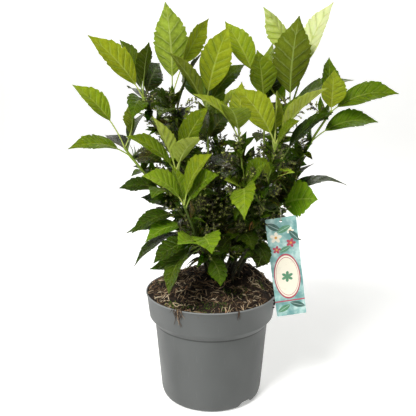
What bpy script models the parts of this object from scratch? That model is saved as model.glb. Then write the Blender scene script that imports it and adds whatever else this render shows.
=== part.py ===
# Potted aucuba: leafy stems in a moulded nursery pot filled with peat, with a hang tag.
# Metres, +Z up, the front of the bush faces -Y, origin at the centre of the pot's underside.
import bpy
import bmesh
import math
import random
from mathutils import Matrix, Vector, noise

CM = 0.01
GAP = 0.0003

# The pot, measured at the outside
POT_HEIGHT = 0.204
RIM_RADIUS = 0.1232
BAND_FOOT_RADIUS = 0.1171
BAND_FOOT_Z = 0.158
BODY_TOP_RADIUS = 0.1069
BODY_TOP_Z = 0.1455
BODY_FOOT_RADIUS = 0.0962
BODY_FOOT_Z = 0.012
FOOT_RADIUS = 0.0893
WALL = 0.0022
FLOOR_PLATE = 0.0025
SKIRT_INNER_RADIUS = 0.0870
DISH_RADIUS = 0.0405
DISH_SLOPE = 0.0075
POT_STEPS = 28
NOTCH_WIDTH = 0.040
NOTCH_HEIGHT = 0.0112
NOTCH_DEPTH = 0.024
NOTCH_HEADINGS = (-48, 132)
DRAIN_COUNT = 6
DRAIN_RADIUS = 0.004
DRAIN_CIRCLE_RADIUS = 0.068
DRAIN_TURN = 0.4
NOTCH_OUTSET = 0.002
NOTCH_SIDES = 6
DRAIN_SIDES = 8

# The root ball
SOIL_EDGE_Z = 0.2000
SOIL_EDGE_DROP = 0.004
MOUND_HEIGHT = 0.024
MOUND_TILT = 0.07
MOUND_TILT_TOWARDS = (0.6, 0.8)
CLOD_HEIGHT = 0.017
CLOD_RADIUS = 0.045
CLOD_PLACE = (0.068, 0.05)
CRUMB_HEIGHT = 0.0044
CRUMBS_PER_METRE = 45.0
SOIL_RINGS = 5

# Stems
STEM_RADIUS = 0.0032
STEM_TIP_RADIUS = 0.0020
BRANCH_RADIUS = 0.0022
TWIG_RADIUS = 0.0013
HOLE_CLEARANCE = 0.0009
HOLE_SIDES = 6
BRANCH_TAPER = 0.75
PAIR_DROP = 0.006
WHORL_DROP = 0.001
ROOT_OFFSET = 0.0008

# Leaves
BLADE_THICKNESS = 0.0009
STALK_WIDTH = 0.0028
STALK_THICKNESS = 0.0024
ROOT_SHARE = 0.6
FOLD_YOUNG = 24
FOLD_OLD = 12
UPRIGHT_LIMIT = 0.15
WAVE_SHARE = 0.05
WAVE_RATE = 9.0
WAVE_SIDE_SHIFT = 1.3
BLADE_BASE_SHARES = (0.12, 0.33)
BLADE_FULLNESS = 0.9
BLADE_WIDEST = 0.88
BLADE_POINT_START = 0.72
BLADE_POINT_DRAW = 0.45
TEETH_START = 0.46
TEETH_SPAN = 0.40
TOOTH_LEAN = 0.25
TOOTH_RISE = 1.04
TOOTH_NOTCH = 0.88
TOOTH_RUN = 0.035
TOOTH_SIDE_LAG = 0.03
LONG_BLADE = 0.12
MIDDLE_BLADE = 0.07

# Bud sprays
SPRAY_RADIUS = 0.0012
SPRAY_SHOULDER = 0.6
SPRAY_TIP_SHARE = 0.5
BUD_SPACING = 0.0120
BUD_COUNT_LEAST = 6
BUD_START = 0.25
BUD_RUN = 0.72
BUD_TURN = 2.4
BUD_RADIUS = 0.0011
BUD_TIP_RADIUS = 0.0002
BUD_LENGTH = 0.015
BUD_LENGTH_SHARES = (1.15, 0.55)
BUD_LEAN = 0.9
BUD_SINK = 0.3

# The hang tag and its tie
TAG_WIDTH = 0.054
TAG_TOP = (0.1185, -0.066, 0.3565)
TAG_FOOT = (0.1475, -0.0435, 0.1687)
TAG_THICKNESS = 0.0009
TAG_CORNER = 0.002
TAG_HOLE_RADIUS = 0.0026
TAG_HOLE_INSET = 0.006
TAG_HOLE_SIDES = 10
TIE_RADIUS = 0.0006
TIE_TURN_START = 60
TIE_TURN_STEP = 48
TIE_TURN_POINTS = 6


def leaf(x, y, z, width, turn, age, arch=0.10, stalk=0.18):
    """A leaf by its tip and width in cm, its turn about its rib in degrees and its age, 0 to 1."""
    return {"tip": Vector((x, y, z)) * CM, "width": width * CM, "turn": math.radians(turn),
            "age": age, "arch": arch, "stalk": stalk}


def whorl(height, *leaves):
    """Leaves that leave a path at one height, in cm, in pairs a little below each other."""
    return {"height": height * CM, "leaves": leaves}


def branch(path, *whorls, radius=BRANCH_RADIUS):
    """A shoot that starts inside its stem."""
    return {"path": path, "whorls": whorls, "radius": radius}


def spray(height, x, y, z):
    """A bud spray from a height on the stem to a point, in cm."""
    return {"height": height * CM, "end": Vector((x, y, z)) * CM}


def stem(name, path, whorls, branches=(), sprays=()):
    """A leafy stem; its first two points are the straight foot in the soil."""
    return {"name": name, "path": path, "whorls": whorls, "branches": branches, "sprays": sprays}


STEMS = (
    stem("stem_front",
         [(1.4, -2.6, 17), (1.4, -2.6, 23.5), (0.2, -6.2, 27.5), (-2.0, -10.0, 32.0), (-4.5, -12.0, 39.0)],
         [whorl(39.0,
                leaf(-10.5, -17, 44.5, 4.0, -50, 0.15, 0.12),
                leaf(0.0, -14, 47.5, 4.5, 50, 0.30),
                leaf(-6.5, -9, 45.0, 3.0, 10, 0.35, 0.05),
                leaf(1.0, -16, 44.5, 4.0, 60, 0.50, 0.12)),
          whorl(32.5,
                leaf(-9.5, -13, 29.5, 4.5, -20, 0.85, 0.12),
                leaf(0.0, -16, 32.0, 4.5, 10, 0.30, 0.25),
                leaf(-5.5, -14, 33.0, 4.0, -20, 0.20),
                leaf(-7.0, -14, 24.5, 4.5, 0, 0.70, 0.20),
                leaf(-10.5, -10, 27.5, 4.0, -20, 0.95, -0.05)),
          whorl(29.5,
                leaf(1.5, -11, 24.8, 3.2, 50, 0.60, 0.20))],
         branches=[branch([(1.4, -2.6, 23.0), (1.9, -4.0, 24.6), (1.4, -4.6, 26.2)], radius=TWIG_RADIUS),
                   branch([(1.9, -4.0, 24.6), (3.0, -4.8, 26.4)], radius=TWIG_RADIUS)]),
    stem("stem_left",
         [(0.0, -0.9, 17), (0.0, -0.9, 23.5), (-2.0, -4.0, 29.5), (-4.5, -5.5, 35.0), (-7.5, -4.5, 39.5),
          (-11.2, -4.0, 42.5), (-14.0, -4.0, 46.0), (-15.0, -4.0, 47.5)],
         [whorl(47.5,
                leaf(-23.0, -6, 58.0, 4.0, -50, 0.20, 0.08, 0.38),
                leaf(-14.0, -3, 55.5, 3.5, -70, 0.30, -0.12, 0.30),
                leaf(-12.5, 4, 53.0, 3.5, -30, 0.85)),
          whorl(46.0,
                leaf(-24.0, -7, 47.5, 4.0, -30, 0.45, 0.14, 0.22),
                leaf(-19.5, 3, 49.0, 3.5, 0, 1.0),
                leaf(-8.5, -6, 45.0, 5.0, 30, 1.0, 0.15, 0.10)),
          whorl(40.0,
                leaf(-16.0, -5, 40.5, 4.0, -30, 0.90),
                leaf(-10.0, -9, 39.5, 3.0, -10, 0.50, 0.15)),
          whorl(36.0,
                leaf(-12.5, -3, 38.5, 3.5, -30, 0.85, 0.12),
                leaf(-13.5, -9, 33.5, 4.0, -20, 0.80, 0.12)),
          whorl(33.5,
                leaf(-15.0, -5, 32.5, 3.5, -20, 0.75),
                leaf(-11.0, -11, 32.5, 3.5, -20, 0.35, 0.15),
                leaf(-13.5, -7, 27.0, 3.5, -10, 0.95, 0.15))],
         sprays=[spray(32.0, -1.8, -6.8, 38.5), spray(29.5, -4.8, -7.8, 36.0)]),
    stem("stem_upper_left",
         [(0.9, 0.9, 17), (0.9, 0.9, 23.5), (-1.0, -2.0, 32.0), (-4.0, -3.2, 42.0), (-9.0, -2.2, 50.0),
          (-12.0, -1.0, 56.0)],
         [whorl(56.0,
                leaf(-20.5, -4, 66.0, 4.5, -70, 0.15, 0.06),
                leaf(-10.5, -3, 65.0, 4.2, 20, 0.60, 0.06, 0.30),
                leaf(-16.5, 4, 66.0, 4.0, 90, 0.70, 0.06),
                leaf(-9.5, 5, 62.0, 4.0, 50, 0.95, 0.08),
                leaf(-13.0, -8, 52.5, 3.5, -30, 0.60, 0.25),
                leaf(-15.5, 6, 57.5, 3.0, 10, 0.90)),
          whorl(39.0,
                leaf(0.8, -1.8, 42.5, 4.0, 50, 1.0)),
          whorl(34.0,
                leaf(-5.5, -1.0, 36.5, 4.0, -50, 1.0)),
          whorl(31.0,
                leaf(3.2, -1.8, 36.0, 4.0, 60, 1.0)),
          whorl(28.5,
                leaf(-5.5, 0, 27.5, 3.5, -40, 1.0))],
         branches=[branch([(-2.2, -2.6, 36.0), (-4.2, -5.8, 40.0), (-6.0, -8.0, 44.0)],
                          whorl(44.0,
                                leaf(-9.5, -10, 53.0, 3.5, 10, 0.15, 0.05),
                                leaf(-2.0, -13, 50.0, 4.0, -10, 0.10),
                                leaf(-13.5, -12, 50.0, 4.0, -40, 0.40),
                                leaf(-0.5, -9, 54.5, 4.5, 60, 0.45, 0.08, 0.30),
                                leaf(-6.5, -3, 52.0, 4.0, 50, 0.85)))],
         sprays=[spray(32.0, 0.6, -4.8, 38.5), spray(44.5, -9.8, -4.6, 51.5)]),
    stem("stem_crown_left",
         [(2.3, 2.3, 17), (2.3, 2.3, 23.5), (0.8, 1.8, 35.0), (-3.0, 1.0, 45.0), (-6.6, 0.0, 52.0),
          (-7.0, 0.0, 56.0)],
         [whorl(56.0,
                leaf(-8.0, 1, 72.0, 6.0, 90, 0.25, 0.03, 0.22),
                leaf(-0.5, 3, 69.5, 4.0, 110, 0.20, 0.05, 0.40)),
          whorl(52.5,
                leaf(-10.5, -5, 56.5, 4.0, -60, 0.80, 0.15, 0.12),
                leaf(-8.5, -9, 53.0, 3.5, -10, 0.70, 0.15),
                leaf(-1.5, 5.5, 64.0, 4.5, -40, 0.75, 0.08, 0.12)),
          whorl(38.5,
                leaf(2.6, -0.4, 41.5, 4.0, 40, 1.0)),
          whorl(33.5,
                leaf(-3.5, 2, 38.5, 4.0, -50, 1.0),
                leaf(5.2, 0.5, 37.5, 4.0, 50, 1.0)),
          whorl(29.5,
                leaf(5.6, -0.4, 33.0, 4.0, 50, 1.0))],
         branches=[branch([(-0.9, 1.4, 40.0), (-0.6, 2.0, 47.0), (-1.0, 2.0, 54.5)],
                          whorl(54.5,
                                leaf(3.0, 1, 68.0, 5.5, 100, 0.20, 0.04),
                                leaf(2.3, 9, 61.2, 4.0, 30, 0.85, 0.08),
                                leaf(-7.2, -3.5, 63.4, 3.5, 10, 0.30, 0.06, 0.16),
                                leaf(-5.5, 7, 60.0, 4.0, -30, 0.55),
                                leaf(6.4, 8, 61.9, 3.4, 40, 0.60, 0.10, 0.22),
                                leaf(-1.0, -4, 48.5, 3.5, 60, 0.95, 0.25)),
                          whorl(47.5,
                                leaf(3.2, 4.5, 53.0, 4.0, 30, 1.0),
                                leaf(-5.0, 4.5, 50.0, 3.5, -40, 1.0),
                                leaf(-2.3, -1.5, 55.3, 3.5, -20, 0.60)))],
         sprays=[spray(37.0, 3.4, -0.6, 45.5)]),
    stem("stem_middle",
         [(2.6, -1.3, 17), (2.6, -1.3, 23.5), (4.4, -4.0, 31.0), (5.4, -7.2, 39.0), (5.2, -8.0, 44.0),
          (4.5, -8.0, 49.5)],
         [whorl(49.5,
                leaf(2.5, -15, 54.5, 5.0, -10, 0.30, 0.15),
                leaf(5.0, -5, 58.5, 3.5, -30, 0.25, 0.05),
                leaf(-3.0, -9, 56.5, 3.5, -30, 0.15, 0.12)),
          whorl(43.0,
                leaf(0.0, -1, 45.5, 4.5, -20, 1.0),
                leaf(8.5, 1, 44.5, 4.5, 0, 1.0)),
          whorl(40.5,
                leaf(5.0, -16, 37.5, 4.5, 30, 0.30, 0.28),
                leaf(8.5, -13.5, 46.0, 3.5, 90, 0.45),
                leaf(1.5, -5, 43.5, 4.0, -10, 0.75),
                leaf(2.0, -11.5, 43.0, 2.5, -40, 0.20)),
          whorl(36.5,
                leaf(2.5, -2.2, 40.0, 3.5, 20, 1.0)),
          whorl(32.5,
                leaf(0.8, -8, 26.0, 4.0, 0, 0.85, 0.20),
                leaf(7.0, -9, 30.5, 3.5, 10, 0.90, 0.25))],
         branches=[branch([(5.3, -7.4, 40.2), (7.0, -8.4, 40.4), (8.1, -8.5, 38.6), (9.6, -8.0, 37.2),
                           (11.2, -6.9, 37.0), (12.2, -6.6, 37.4)], radius=TWIG_RADIUS)],
         sprays=[spray(35.0, 2.6, -6.6, 41.5)]),
    stem("stem_right_front",
         [(3.9, -2.5, 17), (3.9, -2.5, 23.5), (7.0, -5.0, 31.0), (8.5, -7.0, 37.0), (9.5, -8.0, 42.0),
          (10.5, -8.0, 48.5)],
         [whorl(48.5,
                leaf(4.0, -8.5, 57.5, 5.0, -70, 0.10, 0.06),
                leaf(18.5, -9, 57.5, 4.0, -30, 0.15, 0.08),
                leaf(11.0, -4, 57.0, 3.5, 70, 0.10, 0.05, 0.30),
                leaf(15.5, -1, 56.5, 3.0, -10, 0.50, 0.05, 0.25),
                leaf(13.5, -13, 52.5, 3.0, 60, 0.50),
                leaf(8.5, -2, 55.0, 3.0, 30, 0.35)),
          whorl(42.0,
                leaf(6.8, -10.5, 46.5, 2.5, -90, 0.25),
                leaf(13.5, -10, 44.0, 2.5, 20, 0.10)),
          whorl(35.5,
                leaf(6.5, -7, 33.5, 1.5, 20, 1.40, 0.20)),
          whorl(34.0,
                leaf(7.5, -0.8, 38.5, 3.5, 30, 1.0)),
          whorl(31.0,
                leaf(8.0, -5, 26.0, 4.0, -80, 1.0, 0.25),
                leaf(9.6, -8, 27.5, 3.0, 10, 0.85, 0.20))],
         branches=[branch([(8.1, -6.4, 35.2), (10.8, -4.4, 41.0), (12.5, -3.0, 45.5)],
                          whorl(45.5,
                                leaf(20.5, -5, 53.5, 4.0, 30, 0.80)))]),
    stem("stem_crown_right",
         [(3.9, 0.9, 17), (3.9, 0.9, 23.5), (8.0, 3.0, 33.0), (11.0, 4.0, 43.0), (14.5, 4.0, 54.5)],
         [whorl(54.5,
                leaf(15.5, 3, 70.0, 7.0, -100, 0.50, 0.03, 0.14),
                leaf(27.0, 8, 59.0, 4.0, 20, 0.70, 0.08, 0.10),
                leaf(8.5, 6, 60.0, 4.0, -30, 0.30, 0.06)),
          whorl(38.0,
                leaf(4.5, 3, 42.0, 3.5, -60, 1.0),
                leaf(13.0, 6.5, 34.5, 4.0, 40, 1.0))],
         branches=[branch([(12.8, 4.1, 48.5), (15.0, 6.2, 54.0), (16.5, 7.0, 58.5)],
                          whorl(58.5,
                                leaf(22.5, 8, 73.0, 4.5, 40, 0.20, 0.06),
                                leaf(9.5, 7, 72.0, 4.5, 120, 0.25, 0.06, 0.36))),
                   branch([(9.3, 3.5, 37.0), (9.8, 3.4, 46.0), (9.5, 3.0, 54.5)],
                          whorl(54.5,
                                leaf(8.0, 1, 64.0, 5.0, -130, 0.35, 0.05),
                                leaf(2.5, 7, 69.5, 4.5, -50, 0.20, 0.05, 0.40),
                                leaf(11.6, 9, 65.9, 4.5, -40, 0.35, 0.06),
                                leaf(13.5, 8, 61.6, 4.0, 20, 0.95, 0.08)))],
         sprays=[spray(40.5, 13.4, 1.6, 47.0)]),
    stem("stem_right",
         [(5.0, -0.9, 17), (5.0, -0.9, 23.5), (9.2, -1.6, 31.5), (12.0, -2.0, 37.0), (15.0, -0.6, 42.5),
          (18.0, 1.0, 48.0), (21.5, 1.0, 53.5)],
         [whorl(53.5,
                leaf(21.0, -2, 60.5, 4.5, -170, 0.15, 0.06, 0.08),
                leaf(33.0, 0, 56.5, 4.5, 50, 0.50, 0.12, 0.10),
                leaf(21.5, 5, 63.0, 4.0, 30, 0.50, 0.06)),
          whorl(48.0,
                leaf(30.0, 1, 51.5, 4.5, 40, 0.55, 0.14, 0.24)),
          whorl(37.0,
                leaf(16.5, -3.5, 46.0, 5.0, 30, 1.0, 0.06),
                leaf(19.5, 5, 43.5, 4.0, -20, 1.0),
                leaf(25.0, 1, 40.0, 4.0, 10, 0.85, 0.20),
                leaf(18.5, -5, 38.5, 6.5, 70, 0.45),
                leaf(14.5, -8, 44.0, 3.5, 100, 1.0))]),
    stem("stem_back_left",
         [(0.4, 3.5, 17), (0.4, 3.5, 23.5), (-2.0, 5.5, 31.0), (-5.5, 8.5, 39.0), (-8.0, 10.0, 46.0)],
         [whorl(46.0,
                leaf(-15.0, 12, 53.0, 4.5, 0, 0.60),
                leaf(-4.0, 15, 54.0, 4.5, 0, 0.30),
                leaf(-9.0, 18, 52.0, 5.0, 0, 0.40),
                leaf(-16.0, 9, 44.0, 4.5, 0, 0.80, 0.15),
                leaf(-13.0, 19, 45.0, 4.5, 0, 0.70, 0.15),
                leaf(-4.5, 19, 43.0, 4.0, 0, 0.90, 0.18)),
          whorl(39.0,
                leaf(-9.5, 3, 44.0, 4.5, -50, 0.95),
                leaf(-1.5, 6, 46.5, 4.5, 50, 1.0)),
          whorl(36.5,
                leaf(-3.0, 3.8, 42.0, 4.0, 30, 1.0)),
          whorl(31.0,
                leaf(-8.0, 2.5, 31.5, 4.0, -50, 1.0),
                leaf(-1.8, 1.2, 26.0, 4.0, 0, 1.0, 0.20))]),
    stem("stem_back",
         [(2.3, 4.7, 17), (2.3, 4.7, 23.5), (2.2, 8.0, 33.0), (1.4, 12.0, 43.0), (1.0, 14.0, 50.0)],
         [whorl(50.0,
                leaf(-5.0, 17, 58.0, 4.5, 0, 0.30),
                leaf(7.0, 16, 58.0, 4.5, 0, 0.20),
                leaf(0.0, 10, 61.0, 4.5, 180, 0.60, 0.10, 0.30),
                leaf(1.0, 22, 57.0, 5.0, 0, 0.25),
                leaf(-5.0, 22, 51.0, 4.5, 0, 0.60, 0.15),
                leaf(7.0, 22, 50.0, 4.5, 0, 0.80, 0.18)),
          whorl(44.5,
                leaf(-3.0, 8.0, 48.5, 4.5, -30, 1.0)),
          whorl(41.0,
                leaf(-4.5, 9.5, 39.5, 4.5, -50, 1.0),
                leaf(7.5, 8, 42.5, 4.5, 50, 1.0)),
          whorl(37.0,
                leaf(2.8, 4.0, 35.0, 4.0, 10, 1.0)),
          whorl(33.0,
                leaf(-3.5, 5, 34.5, 4.0, -50, 1.0),
                leaf(6.2, 5.6, 30.5, 4.0, 60, 1.0)),
          whorl(30.0,
                leaf(3.2, 3.6, 26.0, 3.5, 0, 1.0, 0.15))]),
    stem("stem_back_right",
         [(4.1, 3.5, 17), (4.1, 3.5, 23.5), (8.0, 8.0, 32.0), (11.5, 11.0, 41.0), (13.0, 13.0, 48.0)],
         [whorl(48.0,
                leaf(19.0, 15, 55.0, 4.5, 0, 0.40),
                leaf(13.0, 21, 53.0, 4.5, 0, 0.20),
                leaf(9.0, 17, 56.0, 4.5, 0, 0.50),
                leaf(20.0, 19, 47.0, 4.5, 0, 0.70, 0.15),
                leaf(10.0, 22, 46.0, 4.5, 0, 0.80, 0.18),
                leaf(16.0, 19, 41.0, 4.0, 0, 0.95, 0.20)),
          whorl(41.0,
                leaf(18.5, 7, 43.0, 4.5, 50, 0.90))]),
    stem("stem_low_back",
         [(5.6, 1.7, 17), (5.6, 1.7, 23.5), (9.0, 7.0, 29.0), (9.5, 10.5, 33.0)],
         [whorl(33.0,
                leaf(16.5, 13, 36.0, 4.5, 0, 0.60),
                leaf(10.0, 19, 38.0, 4.5, 0, 0.70),
                leaf(3.0, 14, 36.5, 4.0, 0, 0.80),
                leaf(13.0, 18, 30.0, 4.0, 0, 0.95, 0.20),
                leaf(5.0, 17, 29.0, 4.0, 0, 0.90, 0.20)),
          whorl(28.0,
                leaf(17.3, 3, 29.0, 3.5, 20, 0.95))]),
    stem("stem_low_left",
         [(-0.9, 2.3, 17), (-0.9, 2.3, 23.5), (-4.0, 8.8, 28.5), (-6.0, 11.0, 33.0)],
         [whorl(33.0,
                leaf(-13.0, 11, 36.0, 4.5, 0, 0.80),
                leaf(-9.0, 19, 38.0, 4.5, 0, 0.60),
                leaf(0.0, 15, 35.5, 4.0, 0, 0.70),
                leaf(-12.0, 17, 30.0, 4.0, 0, 0.95, 0.20),
                leaf(-5.0, 20, 29.0, 4.0, 0, 0.90, 0.20)),
          whorl(28.0,
                leaf(-8.0, 3.5, 27.0, 4.0, -50, 1.0))]),
)


def start_scene():
    """Clear the scene and make one collection for the plant and one for the cutters."""
    for old in list(bpy.data.objects):
        bpy.data.objects.remove(old, do_unlink=True)
    for name in ("potted_aucuba", "cutters"):
        made = bpy.data.collections.new(name)
        bpy.context.scene.collection.children.link(made)


def link(obj, collection="potted_aucuba"):
    bpy.data.collections[collection].objects.link(obj)
    return obj


def material(name, colour, roughness):
    made = bpy.data.materials.new(name)
    made.use_nodes = True
    shader = made.node_tree.nodes["Principled BSDF"]
    shader.inputs["Base Color"].default_value = (*colour, 1.0)
    shader.inputs["Roughness"].default_value = roughness
    shader.inputs["Metallic"].default_value = 0.0
    return made


def as_object(bm, name, collection="potted_aucuba"):
    mesh = bpy.data.meshes.new(name)
    bmesh.ops.recalc_face_normals(bm, faces=bm.faces)
    bm.to_mesh(mesh)
    bm.free()
    return link(bpy.data.objects.new(name, mesh), collection)


def bake_modifiers(obj):
    """Apply every modifier, so that what they used can be removed."""
    graph = bpy.context.evaluated_depsgraph_get()
    mesh = bpy.data.meshes.new_from_object(obj.evaluated_get(graph))
    obj.modifiers.clear()
    obj.data = mesh


def turned(name, profile, steps):
    """Turn an outline of (radius, height) points round the Z axis."""
    mesh = bpy.data.meshes.new(name)
    points = [(radius, 0.0, height) for radius, height in profile]
    mesh.from_pydata(points, [(i, i + 1) for i in range(len(points) - 1)], [])
    obj = link(bpy.data.objects.new(name, mesh))
    screw = obj.modifiers.new("turn", "SCREW")
    screw.steps = steps
    screw.render_steps = steps
    screw.use_merge_vertices = True
    screw.merge_threshold = 0.00001
    return obj


def tube(name, points, radii, sides_level, cyclic=False):
    """A tapering tube along the points, as a closed mesh."""
    data = bpy.data.curves.new(name, "CURVE")
    data.dimensions = "3D"
    data.bevel_depth = 1.0
    data.bevel_resolution = sides_level
    data.use_fill_caps = not cyclic
    spline = data.splines.new("POLY")
    spline.points.add(len(points) - 1)
    for knot, point, radius in zip(spline.points, points, radii):
        knot.co = (*point, 1.0)
        knot.radius = radius
    spline.use_cyclic_u = cyclic
    curve = link(bpy.data.objects.new(name + "_curve", data), "cutters")
    mesh = bpy.data.meshes.new_from_object(curve.evaluated_get(bpy.context.evaluated_depsgraph_get()))
    mesh.name = name
    bpy.data.objects.remove(curve)
    bm = bmesh.new()
    bm.from_mesh(mesh)
    bmesh.ops.remove_doubles(bm, verts=bm.verts, dist=0.00001)
    bmesh.ops.recalc_face_normals(bm, faces=bm.faces)
    bm.to_mesh(mesh)
    bm.free()
    return link(bpy.data.objects.new(name, mesh), "cutters")


def cut(target, cutter):
    cutter.display_type = "WIRE"
    cutter.hide_render = True
    boolean = target.modifiers.new("cut", "BOOLEAN")
    boolean.object = cutter
    boolean.operation = "DIFFERENCE"
    boolean.solver = "EXACT"


def cylinder(name, centre, radius, depth, sides, heading=None):
    """A cutter along Z, or along a level heading."""
    bm = bmesh.new()
    bmesh.ops.create_cone(bm, cap_ends=True, segments=sides, radius1=radius, radius2=radius, depth=depth)
    obj = as_object(bm, name, "cutters")
    obj.location = centre
    if heading is not None:
        obj.rotation_euler = (0.0, math.pi / 2, heading)
    return obj


def wall_radius(z):
    """The pot's outer radius on the band, on the step under it and on the tapered wall."""
    if z >= BAND_FOOT_Z:
        share = (z - BAND_FOOT_Z) / (POT_HEIGHT - BAND_FOOT_Z)
        return BAND_FOOT_RADIUS + (RIM_RADIUS - BAND_FOOT_RADIUS) * share
    if z >= BODY_TOP_Z:
        share = (z - BODY_TOP_Z) / (BAND_FOOT_Z - BODY_TOP_Z)
        return BODY_TOP_RADIUS + (BAND_FOOT_RADIUS - BODY_TOP_RADIUS) * share
    share = (z - BODY_FOOT_Z) / (BODY_TOP_Z - BODY_FOOT_Z)
    return BODY_FOOT_RADIUS + (BODY_TOP_RADIUS - BODY_FOOT_RADIUS) * share


def build_pot():
    plate_z = BODY_FOOT_Z + FLOOR_PLATE
    profile = [
        (0.0, FLOOR_PLATE),
        (DISH_RADIUS - FLOOR_PLATE, FLOOR_PLATE),
        (DISH_RADIUS + DISH_SLOPE - FLOOR_PLATE, plate_z),
        (wall_radius(plate_z) - WALL, plate_z),
        (wall_radius(BODY_TOP_Z) - WALL, BODY_TOP_Z),
        (wall_radius(BAND_FOOT_Z) - WALL, BAND_FOOT_Z),
        (RIM_RADIUS - WALL, POT_HEIGHT),
        (RIM_RADIUS, POT_HEIGHT),
        (BAND_FOOT_RADIUS, BAND_FOOT_Z),
        (BODY_TOP_RADIUS, BODY_TOP_Z),
        (BODY_FOOT_RADIUS, BODY_FOOT_Z),
        (0.4 * FOOT_RADIUS + 0.6 * BODY_FOOT_RADIUS, 0.25 * BODY_FOOT_Z),
        (FOOT_RADIUS, 0.0),
        (SKIRT_INNER_RADIUS, 0.0),
        (SKIRT_INNER_RADIUS, BODY_FOOT_Z),
        (DISH_RADIUS + DISH_SLOPE, BODY_FOOT_Z),
        (DISH_RADIUS, 0.0),
        (0.0, 0.0),
    ]
    pot = turned("pot", profile, POT_STEPS)
    for heading in NOTCH_HEADINGS:
        angle = math.radians(heading)
        out = Vector((math.cos(angle), math.sin(angle), 0.0)) * (FOOT_RADIUS + NOTCH_OUTSET)
        notch = cylinder("notch_%d" % heading, out, 0.5, NOTCH_DEPTH, NOTCH_SIDES, angle)
        notch.scale = (2 * NOTCH_HEIGHT / math.cos(math.pi / NOTCH_SIDES), NOTCH_WIDTH, 1.0)
        cut(pot, notch)
    for index in range(DRAIN_COUNT):
        angle = DRAIN_TURN + 2 * math.pi * index / DRAIN_COUNT
        centre = Vector((math.cos(angle), math.sin(angle), 0.0)) * DRAIN_CIRCLE_RADIUS
        centre.z = BODY_FOOT_Z + FLOOR_PLATE / 2
        cut(pot, cylinder("drain_%d" % index, centre, DRAIN_RADIUS, 3 * FLOOR_PLATE, DRAIN_SIDES))
    pot.data.materials.append(material("grey_polypropylene", (0.16, 0.165, 0.16), 0.55))
    return pot


def soil_height(x, y):
    """The mound's surface: highest in the middle, fuller towards the back right, and crumbly."""
    share = min(1.0, math.hypot(x, y) / (RIM_RADIUS - WALL))
    crown = MOUND_HEIGHT * (1.0 - share ** 3)
    towards = MOUND_TILT_TOWARDS[0] * x + MOUND_TILT_TOWARDS[1] * y
    tilt = MOUND_TILT * towards * (1.0 - 0.9 * share ** 6)
    clod_distance = math.hypot(x - CLOD_PLACE[0], y - CLOD_PLACE[1]) / CLOD_RADIUS
    clod = CLOD_HEIGHT * math.exp(-clod_distance ** 2) * (1.0 - share ** 8)
    crumbs = noise.noise(Vector((x, y, 0.0)) * CRUMBS_PER_METRE) * CRUMB_HEIGHT
    return SOIL_EDGE_Z + crown + tilt + clod + crumbs


def build_soil():
    plate_z = BODY_FOOT_Z + FLOOR_PLATE + GAP
    edge_radius = wall_radius(SOIL_EDGE_Z - SOIL_EDGE_DROP) - WALL - GAP
    side = [
        (edge_radius, SOIL_EDGE_Z - SOIL_EDGE_DROP),
        (wall_radius(BAND_FOOT_Z) - WALL - 2 * GAP, BAND_FOOT_Z),
        (wall_radius(BODY_TOP_Z) - WALL - 2 * GAP, BODY_TOP_Z),
        (wall_radius(plate_z) - WALL - 2 * GAP, plate_z),
        (DISH_RADIUS + DISH_SLOPE - FLOOR_PLATE, plate_z),
        (0.0, plate_z),
    ]
    top = [(edge_radius * ring / SOIL_RINGS, SOIL_EDGE_Z) for ring in range(SOIL_RINGS)]
    soil = turned("soil", top + side, POT_STEPS)
    bake_modifiers(soil)
    for vertex in soil.data.vertices:
        if vertex.co.z >= SOIL_EDGE_Z - GAP:
            vertex.co.z = soil_height(vertex.co.x, vertex.co.y)
    for plant in STEMS:
        foot = Vector(plant["path"][0]) * CM
        top_z = plant["path"][1][2] * CM
        depth = top_z - foot.z + 2 * GAP
        centre = Vector((foot.x, foot.y, foot.z - GAP + depth / 2))
        hole_radius = STEM_RADIUS + HOLE_CLEARANCE
        cut(soil, cylinder("hole_" + plant["name"], centre, hole_radius, depth, HOLE_SIDES))
    soil.data.materials.append(material("peat", (0.07, 0.045, 0.03), 0.95))
    return soil


def smooth_path(points, straight=0):
    """Read a smooth curve through the points; the first `straight` stretches stay straight."""
    knots = [Vector(point) * CM for point in points]
    path = knots[:straight]
    for i in range(straight, len(knots) - 1):
        before = knots[max(i - 1, 0)]
        start, end = knots[i], knots[i + 1]
        after = knots[min(i + 2, len(knots) - 1)]
        for share in (0.0, 0.5):
            path.append(0.5 * ((2 * start) + (end - before) * share
                               + (2 * before - 5 * start + 4 * end - after) * share ** 2
                               + (3 * start - before - 3 * end + after) * share ** 3))
    path.append(knots[-1])
    return path


def at_height(path, height):
    """The point of a rising path at a height."""
    for low, high in zip(path, path[1:]):
        if low.z <= height <= high.z:
            return low.lerp(high, (height - low.z) / (high.z - low.z))
    return path[-1].copy()


def leaf_frame(root, one):
    """The curve of the rib, and the direction that the upper face looks in at its middle."""
    chord = one["tip"] - root
    along = chord.normalized()
    up = Vector((0, 0, 1)) - along.z * along
    if up.length < UPRIGHT_LIMIT:
        up = Vector((-root.x, -root.y, 0.0))
        up -= up.dot(along) * along
    up.normalize()
    bend = (root + one["tip"]) / 2 + up * (2 * one["arch"] * chord.length)
    return bend, up


def rib_point(root, bend, tip, share):
    point = root.lerp(bend, share).lerp(bend.lerp(tip, share), share)
    along = (bend - root).lerp(tip - bend, share).normalized()
    return point, along


def blade_outline(blade_length, lag):
    """(share along the blade, share of the half width) from the base to the last tooth."""
    teeth = 1 + (blade_length > MIDDLE_BLADE) + (blade_length > LONG_BLADE)
    outline = [(share, blade_width(share)) for share in BLADE_BASE_SHARES]
    for tooth in range(teeth):
        place = TEETH_START + lag + TEETH_SPAN * (tooth + TOOTH_LEAN) / teeth
        outline.append((place, blade_width(place) * TOOTH_RISE))
        outline.append((place + TOOTH_RUN, blade_width(place + TOOTH_RUN) * TOOTH_NOTCH))
    return outline


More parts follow.
